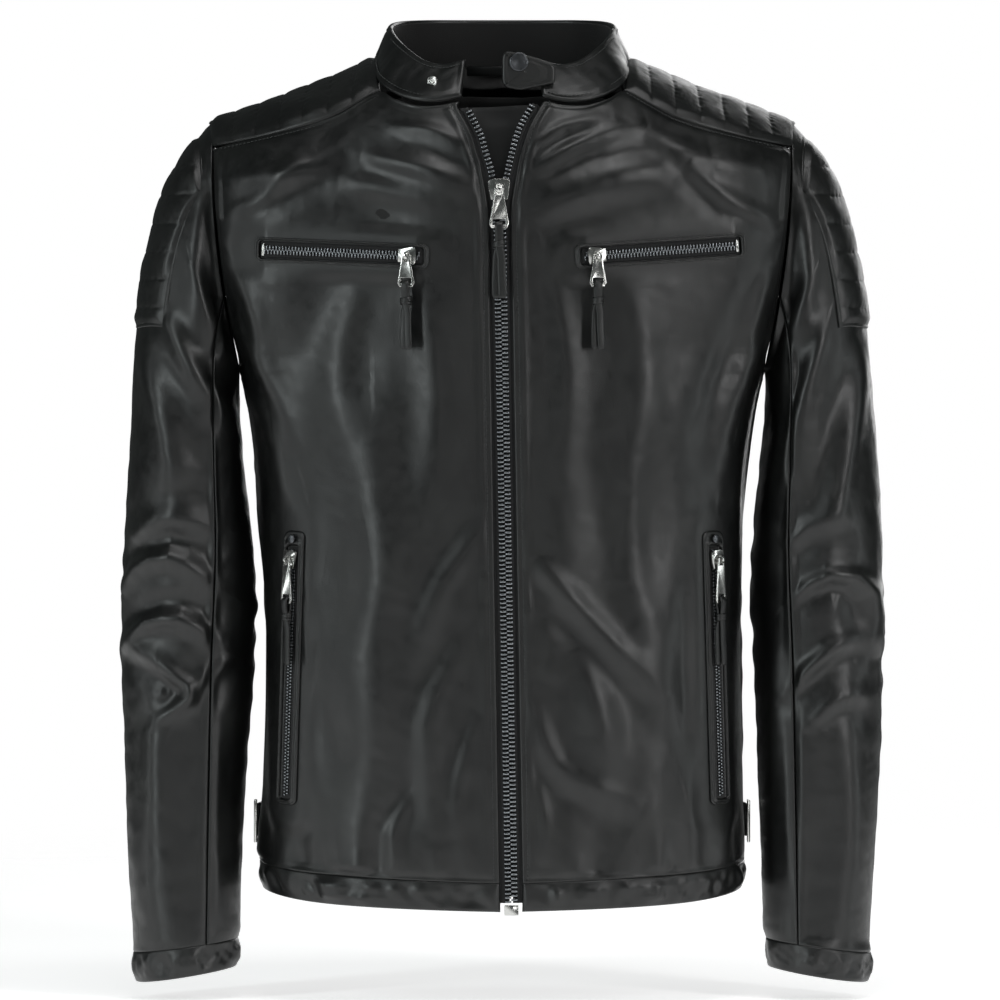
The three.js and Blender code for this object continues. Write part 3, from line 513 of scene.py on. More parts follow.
def front_drape(points, side, amount):
    """The front's own creases, long soft waves, and gathers along the hem seam, in millimetres."""
    x, z = points[..., 0], points[..., 2]
    soft = 1.5 * waves(points, 120, 3 + side, stretch=(1, 1, 2.4))
    low = smooth((-250 - z) / 160)
    soft = soft + (0.25 + 0.95 * low) * waves(points, 46, 7 + side, stretch=(1, 1, 2.8))
    soft = soft + 0.05 * waves(points, 13, 11 + side)
    creases = sum(fold(x, z, line, width, height) for line, width, height in FRONT_FOLDS[side])
    armhole = armhole_x(z) - np.abs(x)
    strip = 1.5 * smooth((8.5 - armhole) / 0.9) * smooth((z + 114) / 0.9)
    above_hem = z + 620 + 6 * np.cos(x / 60)
    gather = 1.7 * waves(points * (1, 0.3, 0.1), 21, 23 + side) * np.exp(-np.maximum(above_hem, 0) / 26)
    from_zip = np.abs(x - zip_x(z))
    gather = gather + 0.8 * waves(points * (0.15, 0.3, 1), 22,
                                  29 + side) * np.exp(-(((from_zip - 24) / 15) ** 2))
    calm = smooth((from_zip - 12) / 22) * (0.25 + 0.75 * smooth((from_zip - 20) / 60))
    upper = smooth((from_zip - 13) / 9)
    return amount * clear_of_zips(x, z, side) * (calm * (soft + gather) + upper * creases) + strip


def back_drape(points, amount):
    """The back: long slanting waves below the shoulder blades and gathers above the hem seam."""
    z = points[..., 2]
    soft = 1.4 * waves(points, 120, 31, stretch=(1, 1, 1.8)) + 0.4 * waves(points, 40, 37)
    small = 0.05 * waves(points, 13, 41)
    x = np.abs(points[..., 0])
    slants = fold(x, z, [(206, -170), (150, -250), (100, -300)], 10,
                  2.2) + fold(x, z, [(196, -250), (140, -330), (70, -372)], 12, 2.0)
    waist = fold(x, z, [(184, -470), (110, -452), (20, -466)], 9,
                 1.6) + fold(x, z, [(184, -520), (120, -508), (40, -524)], 10, 1.5)
    gather = 0.9 * waves(points * (1, 0.3, 0.1), 17, 47) * np.exp(-np.maximum(z + 618, 0) / 22)
    return amount * (soft + small + slants + waist + gather)


def sleeve_drape(points, side, amount):
    """Sleeve creases: drawn lines on the front half, slanting waves packed at the elbow behind."""
    x, y, z = np.abs(points[..., 0]), points[..., 1], points[..., 2]
    ahead = smooth((-66 - y) / 22)
    lines = sum(fold(x, z, line, width, height) for line, width, height in SLEEVE_FOLDS[side])
    elbow = np.exp(-(((z + 425) / 72) ** 2))
    packed = waves(points * (0.45, 0.5, 1), 30, 53 + side, stretch=(1.4, 1.4, 0.8)) * (0.12 + 0.8 * elbow)
    soft = 0.9 * waves(points, 90, 59 + side, stretch=(1, 1, 2.4)) + 0.12 * waves(points, 24, 61 + side)
    small = 0.04 * waves(points, 11, 67 + side)
    end = smooth((z + 705) / 20)
    return amount * end * (ahead * lines * 0.92 + packed * (1 - 0.75 * ahead) + soft + small)


# ---- meshes ----

def set_geometry(mesh, verts, quads):
    """Puts vertices in millimetres and four-sided faces into the mesh, all smooth."""
    mesh.vertices.add(len(verts))
    mesh.vertices.foreach_set("co", (verts * MM).astype(np.float32).ravel())
    mesh.loops.add(quads.size)
    mesh.loops.foreach_set("vertex_index", quads.astype(np.int32).ravel())
    mesh.polygons.add(len(quads))
    mesh.polygons.foreach_set("loop_start", np.arange(0, quads.size, 4, dtype=np.int32))
    mesh.polygons.foreach_set("use_smooth", np.ones(len(quads), bool))
    mesh.update(calc_edges=True)
    mesh.validate()


def piece(name, parts, material, nodes=(), body=BODY):
    """One object from (vertices, quads) parts, riding on a body and standing for the named nodes."""
    count, verts, quads = 0, [], []
    for points, faces in parts:
        verts.append(points.reshape(-1, 3))
        quads.append(faces + count)
        count += len(verts[-1])
    mesh = bpy.data.meshes.new(name)
    set_geometry(mesh, np.concatenate(verts), np.concatenate(quads))
    mesh.materials.append(material)
    made = bpy.data.objects.new(name, mesh)
    bpy.context.scene.collection.objects.link(made)
    finish(made, nodes, body)
    return made


def finish(made, nodes, body):
    if nodes:
        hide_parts(*nodes)
    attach(made, body)


def quad_grid(rows, columns, wrap, first):
    """Faces of a grid of points that starts at index first; with wrap its last row joins its first."""
    i = np.arange(rows if wrap else rows - 1)[:, None]
    j = np.arange(columns - 1)[None, :]
    near, far = first + i * columns + j, first + (i + 1) % rows * columns + j
    return np.stack([near, far, far + 1, near + 1], -1).reshape(-1, 4)


def between(outer, inner, wrap=False):
    """A closed solid between two grids of points, walled along their edges, faces outward."""
    rows, columns = outer.shape[:2]
    verts = np.concatenate([outer.reshape(-1, 3), inner.reshape(-1, 3)])
    size = rows * columns
    faces = [quad_grid(rows, columns, wrap, 0), quad_grid(rows, columns, wrap, size)[:, ::-1]]
    i = np.arange(rows if wrap else rows - 1)
    low, high = i * columns, (i + 1) % rows * columns
    last = columns - 1
    faces.append(np.stack([low + size, high + size, high, low], -1))
    faces.append(np.stack([low + last, high + last, high + last + size, low + last + size], -1))
    if not wrap:
        j = np.arange(columns - 1)
        end = (rows - 1) * columns
        faces.append(np.stack([j, j + 1, j + 1 + size, j + size], -1))
        faces.append(np.stack([end + j + 1, end + j, end + j + size, end + j + 1 + size], -1))
    quads = np.concatenate(faces)
    a, b, c, d = (verts[quads[:, k]] for k in range(4))
    volume = np.einsum("ij,ij->", a, np.cross(b, c)) + np.einsum("ij,ij->", a, np.cross(c, d))
    return verts, quads if volume > 0 else quads[:, ::-1]


def normals(points, out, wrap=False):
    """Unit normals of a grid of points, turned to the side that out(points) says."""
    if wrap:
        across = np.roll(points, -1, 0) - np.roll(points, 1, 0)
    else:
        across = np.gradient(points, axis=0)
    normal = unit(np.cross(across, np.gradient(points, axis=1)))
    return normal * np.where((normal * out(points)).sum(-1, keepdims=True) < 0, -1, 1)


def from_torso(points):
    return points - np.stack([0 * points[..., 0], AXIS_Y + 0 * points[..., 0], points[..., 2]], -1)


def from_sleeve(points):
    z = points[..., 2]
    middle = [np.sign(points[..., 0]) * mix(222, 245, smooth((-120 - z) / 120)), 0 * z - 70,
              np.minimum(z, ARM_Z)]
    return points - np.stack(middle, -1)


def edged(count, length, rim=(0.0, 0.35, 0.9, 1.7, 2.8)):
    """Places from 0 to 1 for a row of this length, close together within a few millimetres of its ends."""
    rim = np.asarray(rim) / length
    inside = np.linspace(4.2 / length, 1 - 4.2 / length, count)
    return np.concatenate([rim, inside, 1 - rim[::-1]])


def edge_distance(points, wrap=False):
    """How far each point of a grid is from the grid's nearest edge, along its rows and columns."""
    away = np.full(points.shape[:2], 1e9)
    for axis in ([1] if wrap else [0, 1]):
        step = np.linalg.norm(np.diff(points, axis=axis), axis=-1)
        zero = np.zeros_like(np.take(step, [0], axis))
        run = np.concatenate([zero, np.cumsum(step, axis)], axis)
        away = np.minimum(away, np.minimum(run, np.take(run, [-1], axis) - run))
    return away


def rounded(away, radius):
    """How far a turned edge drops: a quarter circle of this radius."""
    inside = np.clip(radius - away, 0, radius)
    return radius - np.sqrt(radius**2 - inside**2)


def stitch_groove(away, place, depth=0.7, width=1.1):
    """The narrow dent that a line of stitches pulls, place millimetres in from the edge."""
    return depth * np.exp(-(((away - place) / width) ** 2))


def hide(point, u, v, drape, thickness, out=from_torso, wrap=False, edge=1.5, stitched=None):
    """Leather that follows point(u, v): draped along its normal, its edges turned and stitched down."""
    base = point(*np.meshgrid(u, v, indexing="ij"))
    normal = normals(base, out, wrap)
    away = edge_distance(base, wrap)
    lift = drape(base) * smooth(away / 9) - rounded(away, edge)
    if stitched:
        lift = lift - stitch_groove(away, stitched)
    outer = base + normal * lift[..., None]
    inner = base + normal * (np.minimum(lift, 0) * 0.3 - thickness + np.minimum(drape(base), 0) * smooth(away / 9))[..., None]
    return between(outer, inner, wrap)


def sweep(path, section, reference):
    """A closed section of (side, up) points carried along a path and capped, sides square to reference."""
    path = np.asarray(path, float)
    tangent = unit(np.gradient(path, axis=0))
    side = unit(np.cross(tangent, np.asarray(reference, float)))
    up = np.cross(side, tangent)
    section = np.asarray(section, float)
    if section.ndim == 2:
        section = np.broadcast_to(section, (len(path), *section.shape))
    rings = path[:, None] + side[:, None] * section[..., :1] + up[:, None] * section[..., 1:]
    stations, count = rings.shape[:2]
    half = count // 2
    outer = rings[:, :half]
    inner = rings[:, half:][:, ::-1]
    return between(outer, inner)


def oval(half_width_mm, half_height, count=12, power=2.0):
    """A superellipse section with an even number of points, from one side over the top and back."""
    turn = np.linspace(0, 2 * np.pi, count, endpoint=False) + np.pi / count
    c, s = np.cos(turn), np.sin(turn)
    return np.stack([half_width_mm * np.sign(c) * np.abs(c) ** (2 / power),
                     half_height * np.sign(s) * np.abs(s) ** (2 / power)], -1)


def turned(profile, centre, out, count=40):
    """A profile of (radius, height) turned about an axis; it starts and ends near the axis."""
    out = unit(np.asarray(out, float))
    side = unit(np.cross(out, (0.0, 0.0, 1.0) if abs(out[2]) < 0.9 else (1.0, 0.0, 0.0)))
    up = np.cross(side, out)
    turn = np.linspace(0, 2 * np.pi, count, endpoint=False)
    ring = np.cos(turn)[:, None] * side + np.sin(turn)[:, None] * up
    profile = np.asarray(profile, float)
    grid = np.asarray(centre) + ring[:, None] * profile[None, :, :1] + out * profile[None, :, 1:]
    cap = len(profile)
    faces = quad_grid(count, cap, True, 0)
    verts = np.concatenate([grid.reshape(-1, 3), [centre + out * profile[0, 1],
                                                  centre + out * profile[-1, 1]]])
    i = np.arange(0, count, 2)
    ends = []
    for row, hub in ((0, count * cap), (cap - 1, count * cap + 1)):
        a, b, c = (((i + k) % count) * cap + row for k in range(3))
        ends.append(np.stack([a, b, c, np.full_like(a, hub)],
                             -1) if row else np.stack([c, b, a, np.full_like(a, hub)], -1))
    quads = np.concatenate([faces, *ends])
    a, b, c, d = (verts[quads[:, k]] for k in range(4))
    volume = np.einsum("ij,ij->", a, np.cross(b, c)) + np.einsum("ij,ij->", a, np.cross(c, d))
    return verts, quads if volume > 0 else quads[:, ::-1]


def copies(verts, quads, centres, across, way, out):
    """The same small shape at many places, its x, y and z laid along the three given directions."""
    placed = (centres[:, None] + verts[None, :, :1] * across[:, None] + verts[None, :, 1:2] * way[:, None]
              + verts[None, :, 2:] * out[:, None])
    step = np.arange(len(centres))[:, None, None] * len(verts)
    return placed.reshape(-1, 3), (quads[None] + step).reshape(-1, 4)


def chamfered_block(size, cut):
    """A block with its upper and lower rims cut back, as rings of four corners and two lids."""
    x, y, z = np.asarray(size) / 2
    ring = np.array([[-1, -1], [1, -1], [1, 1], [-1, 1]])
    levels = [(x - cut, y - cut, -z), (x, y, -z + cut), (x, y, z - cut), (x - cut, y - cut, z)]
    verts = np.array([[a * px, b * py, h] for a, b, h in levels for px, py in ring])
    quads = [[r * 4 + i, r * 4 + (i + 1) % 4, r * 4 + 4 + (i + 1) % 4,
              r * 4 + 4 + i] for r in range(3) for i in range(4)]
    return verts, np.array([[3, 2, 1, 0], *quads, [12, 13, 14, 15]])


def line_on(surface, knots, places):
    """Points, ways, outward normals and sides along a line of plane coordinates on surface(a, b)."""
    a, b = along(knots, places, 1), along(knots, places, 2)
    a_step = along(knots, np.minimum(places + 1e-3, 1), 1) - along(knots, np.maximum(places - 1e-3, 0), 1)
    b_step = along(knots, np.minimum(places + 1e-3, 1), 2) - along(knots, np.maximum(places - 1e-3, 0), 2)
    size = np.hypot(a_step, b_step)
    a_step, b_step = a_step / size, b_step / size
    points = surface(a, b)
    way = unit(surface(a + a_step, b + b_step) - points)
    side = unit(surface(a + b_step, b - a_step) - points)
    out = unit(np.cross(side, way))
    out = out * np.where((out * from_torso(points)).sum(-1, keepdims=True) < 0, -1, 1)
    return points, way, out, unit(np.cross(way, out))


def bevelled_copy(name, material, body, width=0.28, segments=2):
    """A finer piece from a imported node's own shape: merged, flat faces joined and edges rounded."""
    mesh = NODES[name].data.copy()
    mesh.name = f"{name}_finished"
    work = bmesh.new()
    work.from_mesh(mesh)
    bmesh.ops.remove_doubles(work, verts=work.verts, dist=2e-6)
    bmesh.ops.dissolve_limit(work, angle_limit=math.radians(2), verts=work.verts, edges=work.edges)
    bmesh.ops.recalc_face_normals(work, faces=work.faces)
    work.to_mesh(mesh)
    work.free()
    mesh.polygons.foreach_set("use_smooth", np.ones(len(mesh.polygons), bool))
    mesh.materials.clear()
    mesh.materials.append(material)
    made = bpy.data.objects.new(f"{name}_finished", mesh)
    bpy.context.scene.collection.objects.link(made)
    rounding = made.modifiers.new("rounded_edges", "BEVEL")
    rounding.width = width * MM
    rounding.segments = segments
    rounding.limit_method = "ANGLE"
    rounding.angle_limit = math.radians(35)
    rounding.harden_normals = True
    finish(made, [name], body)
    return made


# ---- materials ----

def linear(colour):
    """A hex sRGB colour as linear red, green, blue and full alpha."""
    parts = [int(colour[i:i + 2], 16) / 255 for i in (1, 3, 5)]
    return [*(c / 12.92 if c <= 0.04045 else ((c + 0.055) / 1.055) ** 2.4 for c in parts), 1.0]


def add_node(tree, kind, settings=None, values=None, links=None):
    """Adds one node: attribute settings, socket values, and links from other nodes' sockets."""
    node = tree.nodes.new(kind)
    for key, value in (settings or {}).items():
        setattr(node, key, value)
    for key, value in (values or {}).items():
        node.inputs[key].default_value = value
    for key, (other, socket) in (links or {}).items():
        tree.links.new(other.outputs[socket], node.inputs[key])
    return node


def new_material(name, **shader):
    """A material with its output and shader; returns the material, its tree, shader and coordinates."""
    material = bpy.data.materials.new(name)
    material.use_nodes = True
    tree = material.node_tree
    tree.nodes.clear()
    surface = add_node(tree, "ShaderNodeBsdfPrincipled", values=shader)
    add_node(tree, "ShaderNodeOutputMaterial", links={"Surface": (surface, "BSDF")})
    return material, tree, surface, add_node(tree, "ShaderNodeTexCoord")


def ramp(tree, source, stops, socket="Fac"):
    node = add_node(tree, "ShaderNodeValToRGB", links={"Fac": (source, socket)})
    node.color_ramp.elements[0].position, node.color_ramp.elements[0].color = stops[0]
    node.color_ramp.elements[1].position, node.color_ramp.elements[1].color = stops[1]
    return node


def leather_material(name, dark, light, roughness, grain_mm=1.1, crease=1.0, shine=0.5):
    """Pigmented full-grain leather, rolled and waxed: a fine pebbled grain with hair-thin creases
    between its cells, a satin finish whose dullness follows the broad wrinkles, and a slightly mottled black."""
    material, tree, surface, where = new_material(
        name, **{"Roughness": roughness, "IOR": 1.5, "Specular IOR Level": shine,
                 "Coat Weight": 0.2 * shine,
                 "Coat Roughness": 0.28})
    spot = {"Vector": (where, "Object")}
    cells = add_node(tree, "ShaderNodeTexVoronoi", {"feature": "DISTANCE_TO_EDGE"},
                     {"Scale": 1 / (grain_mm * MM), "Randomness": 1.0}, spot)
    hollows = add_node(tree, "ShaderNodeMapRange", values={"From Max": 0.18},
                       links={"Value": (cells, "Distance")})
    fine = add_node(tree, "ShaderNodeTexNoise", values={"Scale": 1 / (0.55 * MM), "Detail": 3.0},
                    links=spot)
    broad = add_node(tree, "ShaderNodeTexNoise", values={"Scale": 1 / (9 * MM), "Detail": 5.0,
                                                         "Roughness": 0.62}, links=spot)
    cloud = add_node(tree, "ShaderNodeTexNoise", values={"Scale": 1 / (46 * MM), "Detail": 3.0}, links=spot)
    blotch = ramp(tree, cloud, [(0.36, linear(dark)), (0.7, linear(light))])
    pores = add_node(tree, "ShaderNodeMix", {"data_type": "RGBA", "blend_type": "MULTIPLY"},
                     {"Factor": 0.12},
                     {"A": (blotch, "Color"), "B": (hollows, "Result")})
    tree.links.new(pores.outputs["Result"], surface.inputs["Base Color"])
    dull = add_node(tree, "ShaderNodeMapRange", values={"From Min": 0.3, "From Max": 0.7,
                                                        "To Min": roughness - 0.07,
                                                       "To Max": roughness + 0.1},
                                                       links={"Value": (broad, "Fac")})
    tree.links.new(dull.outputs["Result"], surface.inputs["Roughness"])
    wrinkle = add_node(tree, "ShaderNodeBump", values={"Strength": 0.2 * crease, "Distance": 0.5 * MM},
                       links={"Height": (broad, "Fac")})
    pebble = add_node(tree, "ShaderNodeBump", values={"Strength": 0.3, "Distance": 0.1 * MM},
                      links={"Height": (hollows, "Result"), "Normal": (wrinkle, "Normal")})
    last = add_node(tree, "ShaderNodeBump", values={"Strength": 0.1, "Distance": 0.05 * MM},
                    links={"Height": (fine, "Fac"), "Normal": (pebble, "Normal")})
    tree.links.new(last.outputs["Normal"], surface.inputs["Normal"])
    return material


def woven_material(name, colour, thread_mm, roughness, sheen, rib=(1, 1, 1)):
    """Twill-woven polyester: crossing threads raise a fine rib that catches a little sheen."""
    material, tree, surface, where = new_material(
        name, **{"Roughness": roughness, "Sheen Weight": sheen, "Sheen Roughness": 0.5})
    shades = []
    for direction, turn in (("DIAGONAL", 0), ("DIAGONAL", math.pi / 2)):
        place = add_node(tree, "ShaderNodeMapping", values={"Rotation": (0, turn, 0), "Scale": rib},
                         links={"Vector": (where, "Object")})
        shades.append(add_node(tree, "ShaderNodeTexWave", {"bands_direction": direction},
                               {"Scale": 1 / (thread_mm * MM * 3.2), "Distortion": 0.6},
                               {"Vector": (place, "Vector")}))
    cross = add_node(tree, "ShaderNodeMath", {"operation": "MULTIPLY"},
                     links={0: (shades[0], "Fac"), 1: (shades[1], "Fac")})
    tone = ramp(tree, cross, [(0.0, [c * 0.55 for c in linear(colour)[:3]] + [1]), (0.8, linear(colour))],
                "Value")
    tree.links.new(tone.outputs["Color"], surface.inputs["Base Color"])
    bump = add_node(tree, "ShaderNodeBump", values={"Strength": 0.6, "Distance": 0.2 * MM},
                    links={"Height": (cross, "Value")})
    tree.links.new(bump.outputs["Normal"], surface.inputs["Normal"])
    return material


def plated_material(name, colour, roughness, scratch=0.02):
    """Plated zinc, tumbled bright before plating: a mirror softened by hairline wear and fine dull spots."""
    material, tree, surface, where = new_material(name,
                                                  **{"Metallic": 1.0, "Base Color": linear(colour),
                                                     "Roughness": roughness})
    spot = {"Vector": (where, "Object")}
    wear = add_node(tree, "ShaderNodeTexNoise", values={"Scale": 1 / (4 * MM), "Detail": 3.0}, links=spot)
    hair = add_node(tree, "ShaderNodeMapping", values={"Scale": (1, 1, 0.12)}, links=spot)
    lines = add_node(tree, "ShaderNodeTexNoise", values={"Scale": 1 / (0.35 * MM), "Detail": 2.0},
                     links={"Vector": (hair, "Vector")})
    dull = add_node(tree, "ShaderNodeMapRange", values={"From Min": 0.35, "From Max": 0.75,
                                                        "To Min": roughness,
                                                       "To Max": roughness + 0.1},
                                                       links={"Value": (wear, "Fac")})
    tree.links.new(dull.outputs["Result"], surface.inputs["Roughness"])
    bump = add_node(tree, "ShaderNodeBump", values={"Strength": scratch, "Distance": 0.01 * MM},
                    links={"Height": (lines, "Fac")})
    tree.links.new(bump.outputs["Normal"], surface.inputs["Normal"])
    return material


def thread_material(name, colour):
    """Bonded nylon sewing thread: twisted, faintly glossy black."""
    material, tree, surface, where = new_material(name, **{"Roughness": 0.5, "Sheen Weight": 0.2})
    twist = add_node(tree, "ShaderNodeTexWave", {"bands_direction": "DIAGONAL"}, {"Scale": 1 / (1.2 * MM)},
                     {"Vector": (where, "Object")})
    tone = ramp(tree, twist, [(0.0, [c * 0.5 for c in linear(colour)[:3]] + [1]), (1.0, linear(colour))])
    tree.links.new(tone.outputs["Color"], surface.inputs["Base Color"])
    return material


def material(name):
    """The jacket's materials by name, each made once."""
    if name in bpy.data.materials:
        return bpy.data.materials[name]
    colours = bpy.context.scene.jacket_colours
    hexed = lambda c: "#" + "".join(f"{round(v * 255):02x}" for v in c)
    makers = {
        "black_cowhide": lambda: leather_material(name, "#080909", hexed(colours.leather), 0.37),
        "black_cowhide_quilted": lambda: leather_material(name, "#080909", hexed(colours.leather), 0.4, 1.0,
                                                          0.8),
        "black_lace_leather": lambda: leather_material(name, "#060707", "#101211", 0.4, 0.7, 0.5),
        # The same black leather made darker and less shiny: painted shade for the recessed wind flap and the hanger
        # loop inside the neck.
        "black_leather_painted_shade": lambda: leather_material(name, "#060707", "#101111", 0.5, 0.8, 0.5, 0.2),
        "black_polyester_lining": lambda: woven_material(name, hexed(colours.lining), 0.5, 0.8, 0.12),
        "black_zip_tape": lambda: woven_material(name, "#0d0d0f", 0.8, 0.8, 0.12),
        "nickel_plated_zinc": lambda: plated_material(name, hexed(colours.nickel), 0.16),
        "black_nickel_plated_teeth": lambda: plated_material(name, "#84878a", 0.22),
        "gunmetal_plated_brass": lambda: plated_material(name, hexed(colours.gunmetal), 0.26),
        "bonded_nylon_thread": lambda: thread_material(name, "#232625"),
    }
    return makers[name]()


# ---- settings ----

class JacketSizes(bpy.types.PropertyGroup):
    """Sizes that a user of the jacket would change."""

    crease_amount: FloatProperty(name="Creases", description="Height of the leather's creases, 1 is as worn", default=1.0, min=0, max=2)
    channel_pitch: FloatProperty(name="Shoulder channel",
                                 description="Distance between the shoulder's stitched channels",
                                 default=19 * MM, unit="LENGTH", subtype="DISTANCE")
    sleeve_pitch: FloatProperty(name="Sleeve channel",
                                description="Distance between the sleeve's stitched channels",
                                default=21.2 * MM, unit="LENGTH", subtype="DISTANCE")
    channel_puff: FloatProperty(name="Channel puff",
                                description="How far the padding stands up between channel stitches",
                                default=1.6 * MM, unit="LENGTH", subtype="DISTANCE")
    tooth_pitch: FloatProperty(name="Tooth pitch", description="Distance between the main zip's teeth on one tape",
                               default=3.3 * MM, unit="LENGTH", subtype="DISTANCE")
    stitch_length: FloatProperty(name="Stitch length",
                                 description="Length of one stitch of the top stitching",
                                 default=3.0 * MM, unit="LENGTH", subtype="DISTANCE")


class JacketColours(bpy.types.PropertyGroup):
    """Colours of the jacket's materials, as sRGB."""

    leather: FloatVectorProperty(name="Leather", description="Lighter tone of the black leather",
                                 default=(0.082, 0.086, 0.084),
                                 subtype="COLOR_GAMMA", min=0, max=1)
    lining: FloatVectorProperty(name="Lining", description="Lining cloth", default=(0.03, 0.03, 0.032),
                                subtype="COLOR_GAMMA", min=0, max=1)
    nickel: FloatVectorProperty(name="Nickel", description="Zip metal", default=(0.80, 0.80, 0.79),
                                subtype="COLOR_GAMMA", min=0, max=1)
    gunmetal: FloatVectorProperty(name="Gunmetal", description="Snaps and rivets",
                                  default=(0.36, 0.37, 0.38),
                                  subtype="COLOR_GAMMA", min=0, max=1)


# ---- pieces ----

def front_surface(side):
    """The draped front as a surface of x and height, for what is sewn onto it."""
    amount = bpy.context.scene.jacket_sizes.crease_amount

    def surface(x, z):
        base = front(x, z)
        normal = unit(np.cross(front(x + 0.5, z) - front(x - 0.5, z),
                               front(x, z + 0.5) - front(x, z - 0.5)))
        normal = normal * np.where(normal[..., 1:2] > 0, -1, 1)
        return base + normal * front_drape(base, side, amount)[..., None]
    return surface


def stitches(surface, points, lift=0.12):
    """A line of sewing stitches on surface(a, b), slightly sunk, each a small rounded bar."""
    pitch = bpy.context.scene.jacket_sizes.stitch_length / MM
    knots = measured(points)
    length = float(np.linalg.norm(np.diff(np.asarray(points, float), axis=0), axis=1).sum())
    places = (np.arange(max(2, int(length / pitch))) + 0.5) / max(2, int(length / pitch))
    at, way, out, side = line_on(surface, knots, places)
    verts, quads = chamfered_block((0.62, pitch * 0.74, 0.62), 0.17)
    return copies(verts, quads, at + out * lift, side, way, out)


def placket_ridge(points, side):
    """The folded edge beside the main zip: a flat roll 4 mm wide, then a stitched groove at 13 mm."""
    x, z = points[..., 0], points[..., 2]
    if_low = zip_x(z) + side * LAPEL_GAP
    row = np.interp(z, [p[1] for p in ROW[side]], [p[0] + side * LAPEL_FROM_ROW for p in ROW[side]])
    edge = np.where(z > -80, row, np.where(z > -100, mix(if_low, row, smooth((z + 100) / 20)), if_low))
    away = side * (x - edge)
    roll = 1.3 * np.exp(-(((away - 2.0) / 1.7) ** 2)) + 0.8 * np.exp(-(((away - 8) / 3) ** 2))
    return roll - 1.0 * np.exp(-(((away - 4.6) / 0.8) ** 2))


def front_panels():
    amount = bpy.context.scene.jacket_sizes.crease_amount
    for side in (RIGHT, LEFT):
        name = SIDE_NAME[side]
        drape = lambda points: front_drape(points, side, amount) + placket_ridge(points, side)
        solid = hide(front_patch(side), edged(146, 210), edged(286, 560), drape, 1.6, stitched=3.3)
        piece(f"{name}_front", [solid], material("black_cowhide"), [f"{name}_front_panel"])
        surface = front_surface(side)
        placket = [[x, z] for x, z in lapel(side, LAPEL_GAP + 4.7, LAPEL_FROM_ROW + 4.7, (38, -25))]
        yoke = [[side * x, z - 3.2] for x, z in YOKE]
        lines = [stitches(surface, line, 0.0) for line in (placket, yoke)]
        piece(f"{name}_front_stitching", lines, material("bonded_nylon_thread"))


def back_panel_piece():
    amount = bpy.context.scene.jacket_sizes.crease_amount
    solid = hide(back_patch(), edged(190, 420), edged(200, 600), lambda p: back_drape(p, amount), 1.6)
    piece("back", [solid], material("black_cowhide"), ["back_panel"])


def channels(place, across, puff, seed):
    """Padding between stitched channels: a round swell in each, a sharp groove and fine puckers along it."""
    share = place - np.floor(place)
    swell = np.sin(np.pi * share) ** 0.34
    near = np.minimum(share, 1 - share)
    pucker = 0.2 * np.exp(-near / 0.16) * waves(across, 7, seed)
    return puff * (swell - 0.5) + pucker


def shoulder_pads():
    sizes = bpy.context.scene.jacket_sizes
    pitch, puff = sizes.channel_pitch / MM, sizes.channel_puff / MM
    for side in (RIGHT, LEFT):
        def drape(points):
            place = (np.abs(points[..., 0]) - 112 + 0.05 * (points[..., 1] + 66)) / pitch
            return 1.6 + channels(place, points, puff, 73 + side) + 0.5 * waves(points, 50, 79 + side)
        solid = hide(shoulder_patch(side, 0.4, 2.5, 4.5, 5.0), edged(130, 128), edged(120, 170), drape, 1.6,
                     edge=2.2)
        name = SIDE_NAME[side]
        made = piece(f"{name}_quilted_shoulder", [solid], material("black_cowhide_quilted"),
                     [f"{name}_shoulder_pad"])


def sleeve_pads():
    sizes = bpy.context.scene.jacket_sizes
    pitch, puff = sizes.sleeve_pitch / MM, sizes.channel_puff / MM
    for side in (RIGHT, LEFT):
        def drape(points):
            place = (-points[..., 2] - 55 - 0.10 * (np.abs(points[..., 0]) - 260)) / pitch
            return 2.6 + channels(place, points, puff * 0.8, 83 + side) + 0.4 * waves(points, 40, 89 + side)
        solid = hide(sleeve_pad_patch(side), edged(110, 150), edged(150, 160), drape, -0.6, from_sleeve,
                     edge=2.2)
        name = SIDE_NAME[side]
        made = piece(f"{name}_quilted_sleeve", [solid], material("black_cowhide_quilted"),
                     [f"{name}_sleeve_pad"])


def sleeves():
    amount = bpy.context.scene.jacket_sizes.crease_amount
    gap = 0.008
    for side in (RIGHT, LEFT):
        name = SIDE_NAME[side]
        drape = lambda points: sleeve_drape(points, side, amount)
        top = sleeve_patch(side, 0, 0.9995, UNDER_FROM - gap, -UNDER_FROM + gap)
        under = sleeve_patch(side, 0, 0.9995, UNDER_FROM + gap, 2 * np.pi - UNDER_FROM - gap)
        pieces = (("top", top, edged(140, 240)), ("under", under, edged(70, 130)))
        for part, point, u in pieces:
            solid = hide(point, u, edged(300, 640), drape, 1.6, from_sleeve)
            piece(f"{name}_{part}_sleeve", [solid], material("black_cowhide"), [f"{name}_sleeve_{part}"])


def cuffs():
    for side in (RIGHT, LEFT):
        name = SIDE_NAME[side]
        u = np.linspace(0, 1, 160, endpoint=False)
        drape = lambda points: 0.7 + 0.9 * waves(points * (1, 1, 0.25), 22,
                                                 97 + side) + 0.2 * waves(points, 7, 101 + side)
        point = sleeve_patch(side, 0.9982, 1.0495, 0, 2 * np.pi)
        solid = hide(point, u, edged(14, 24), drape, 2.0, from_sleeve, wrap=True, edge=1.9)
        piece(f"{name}_cuff_band", [solid], material("black_cowhide"), [f"{name}_cuff"])


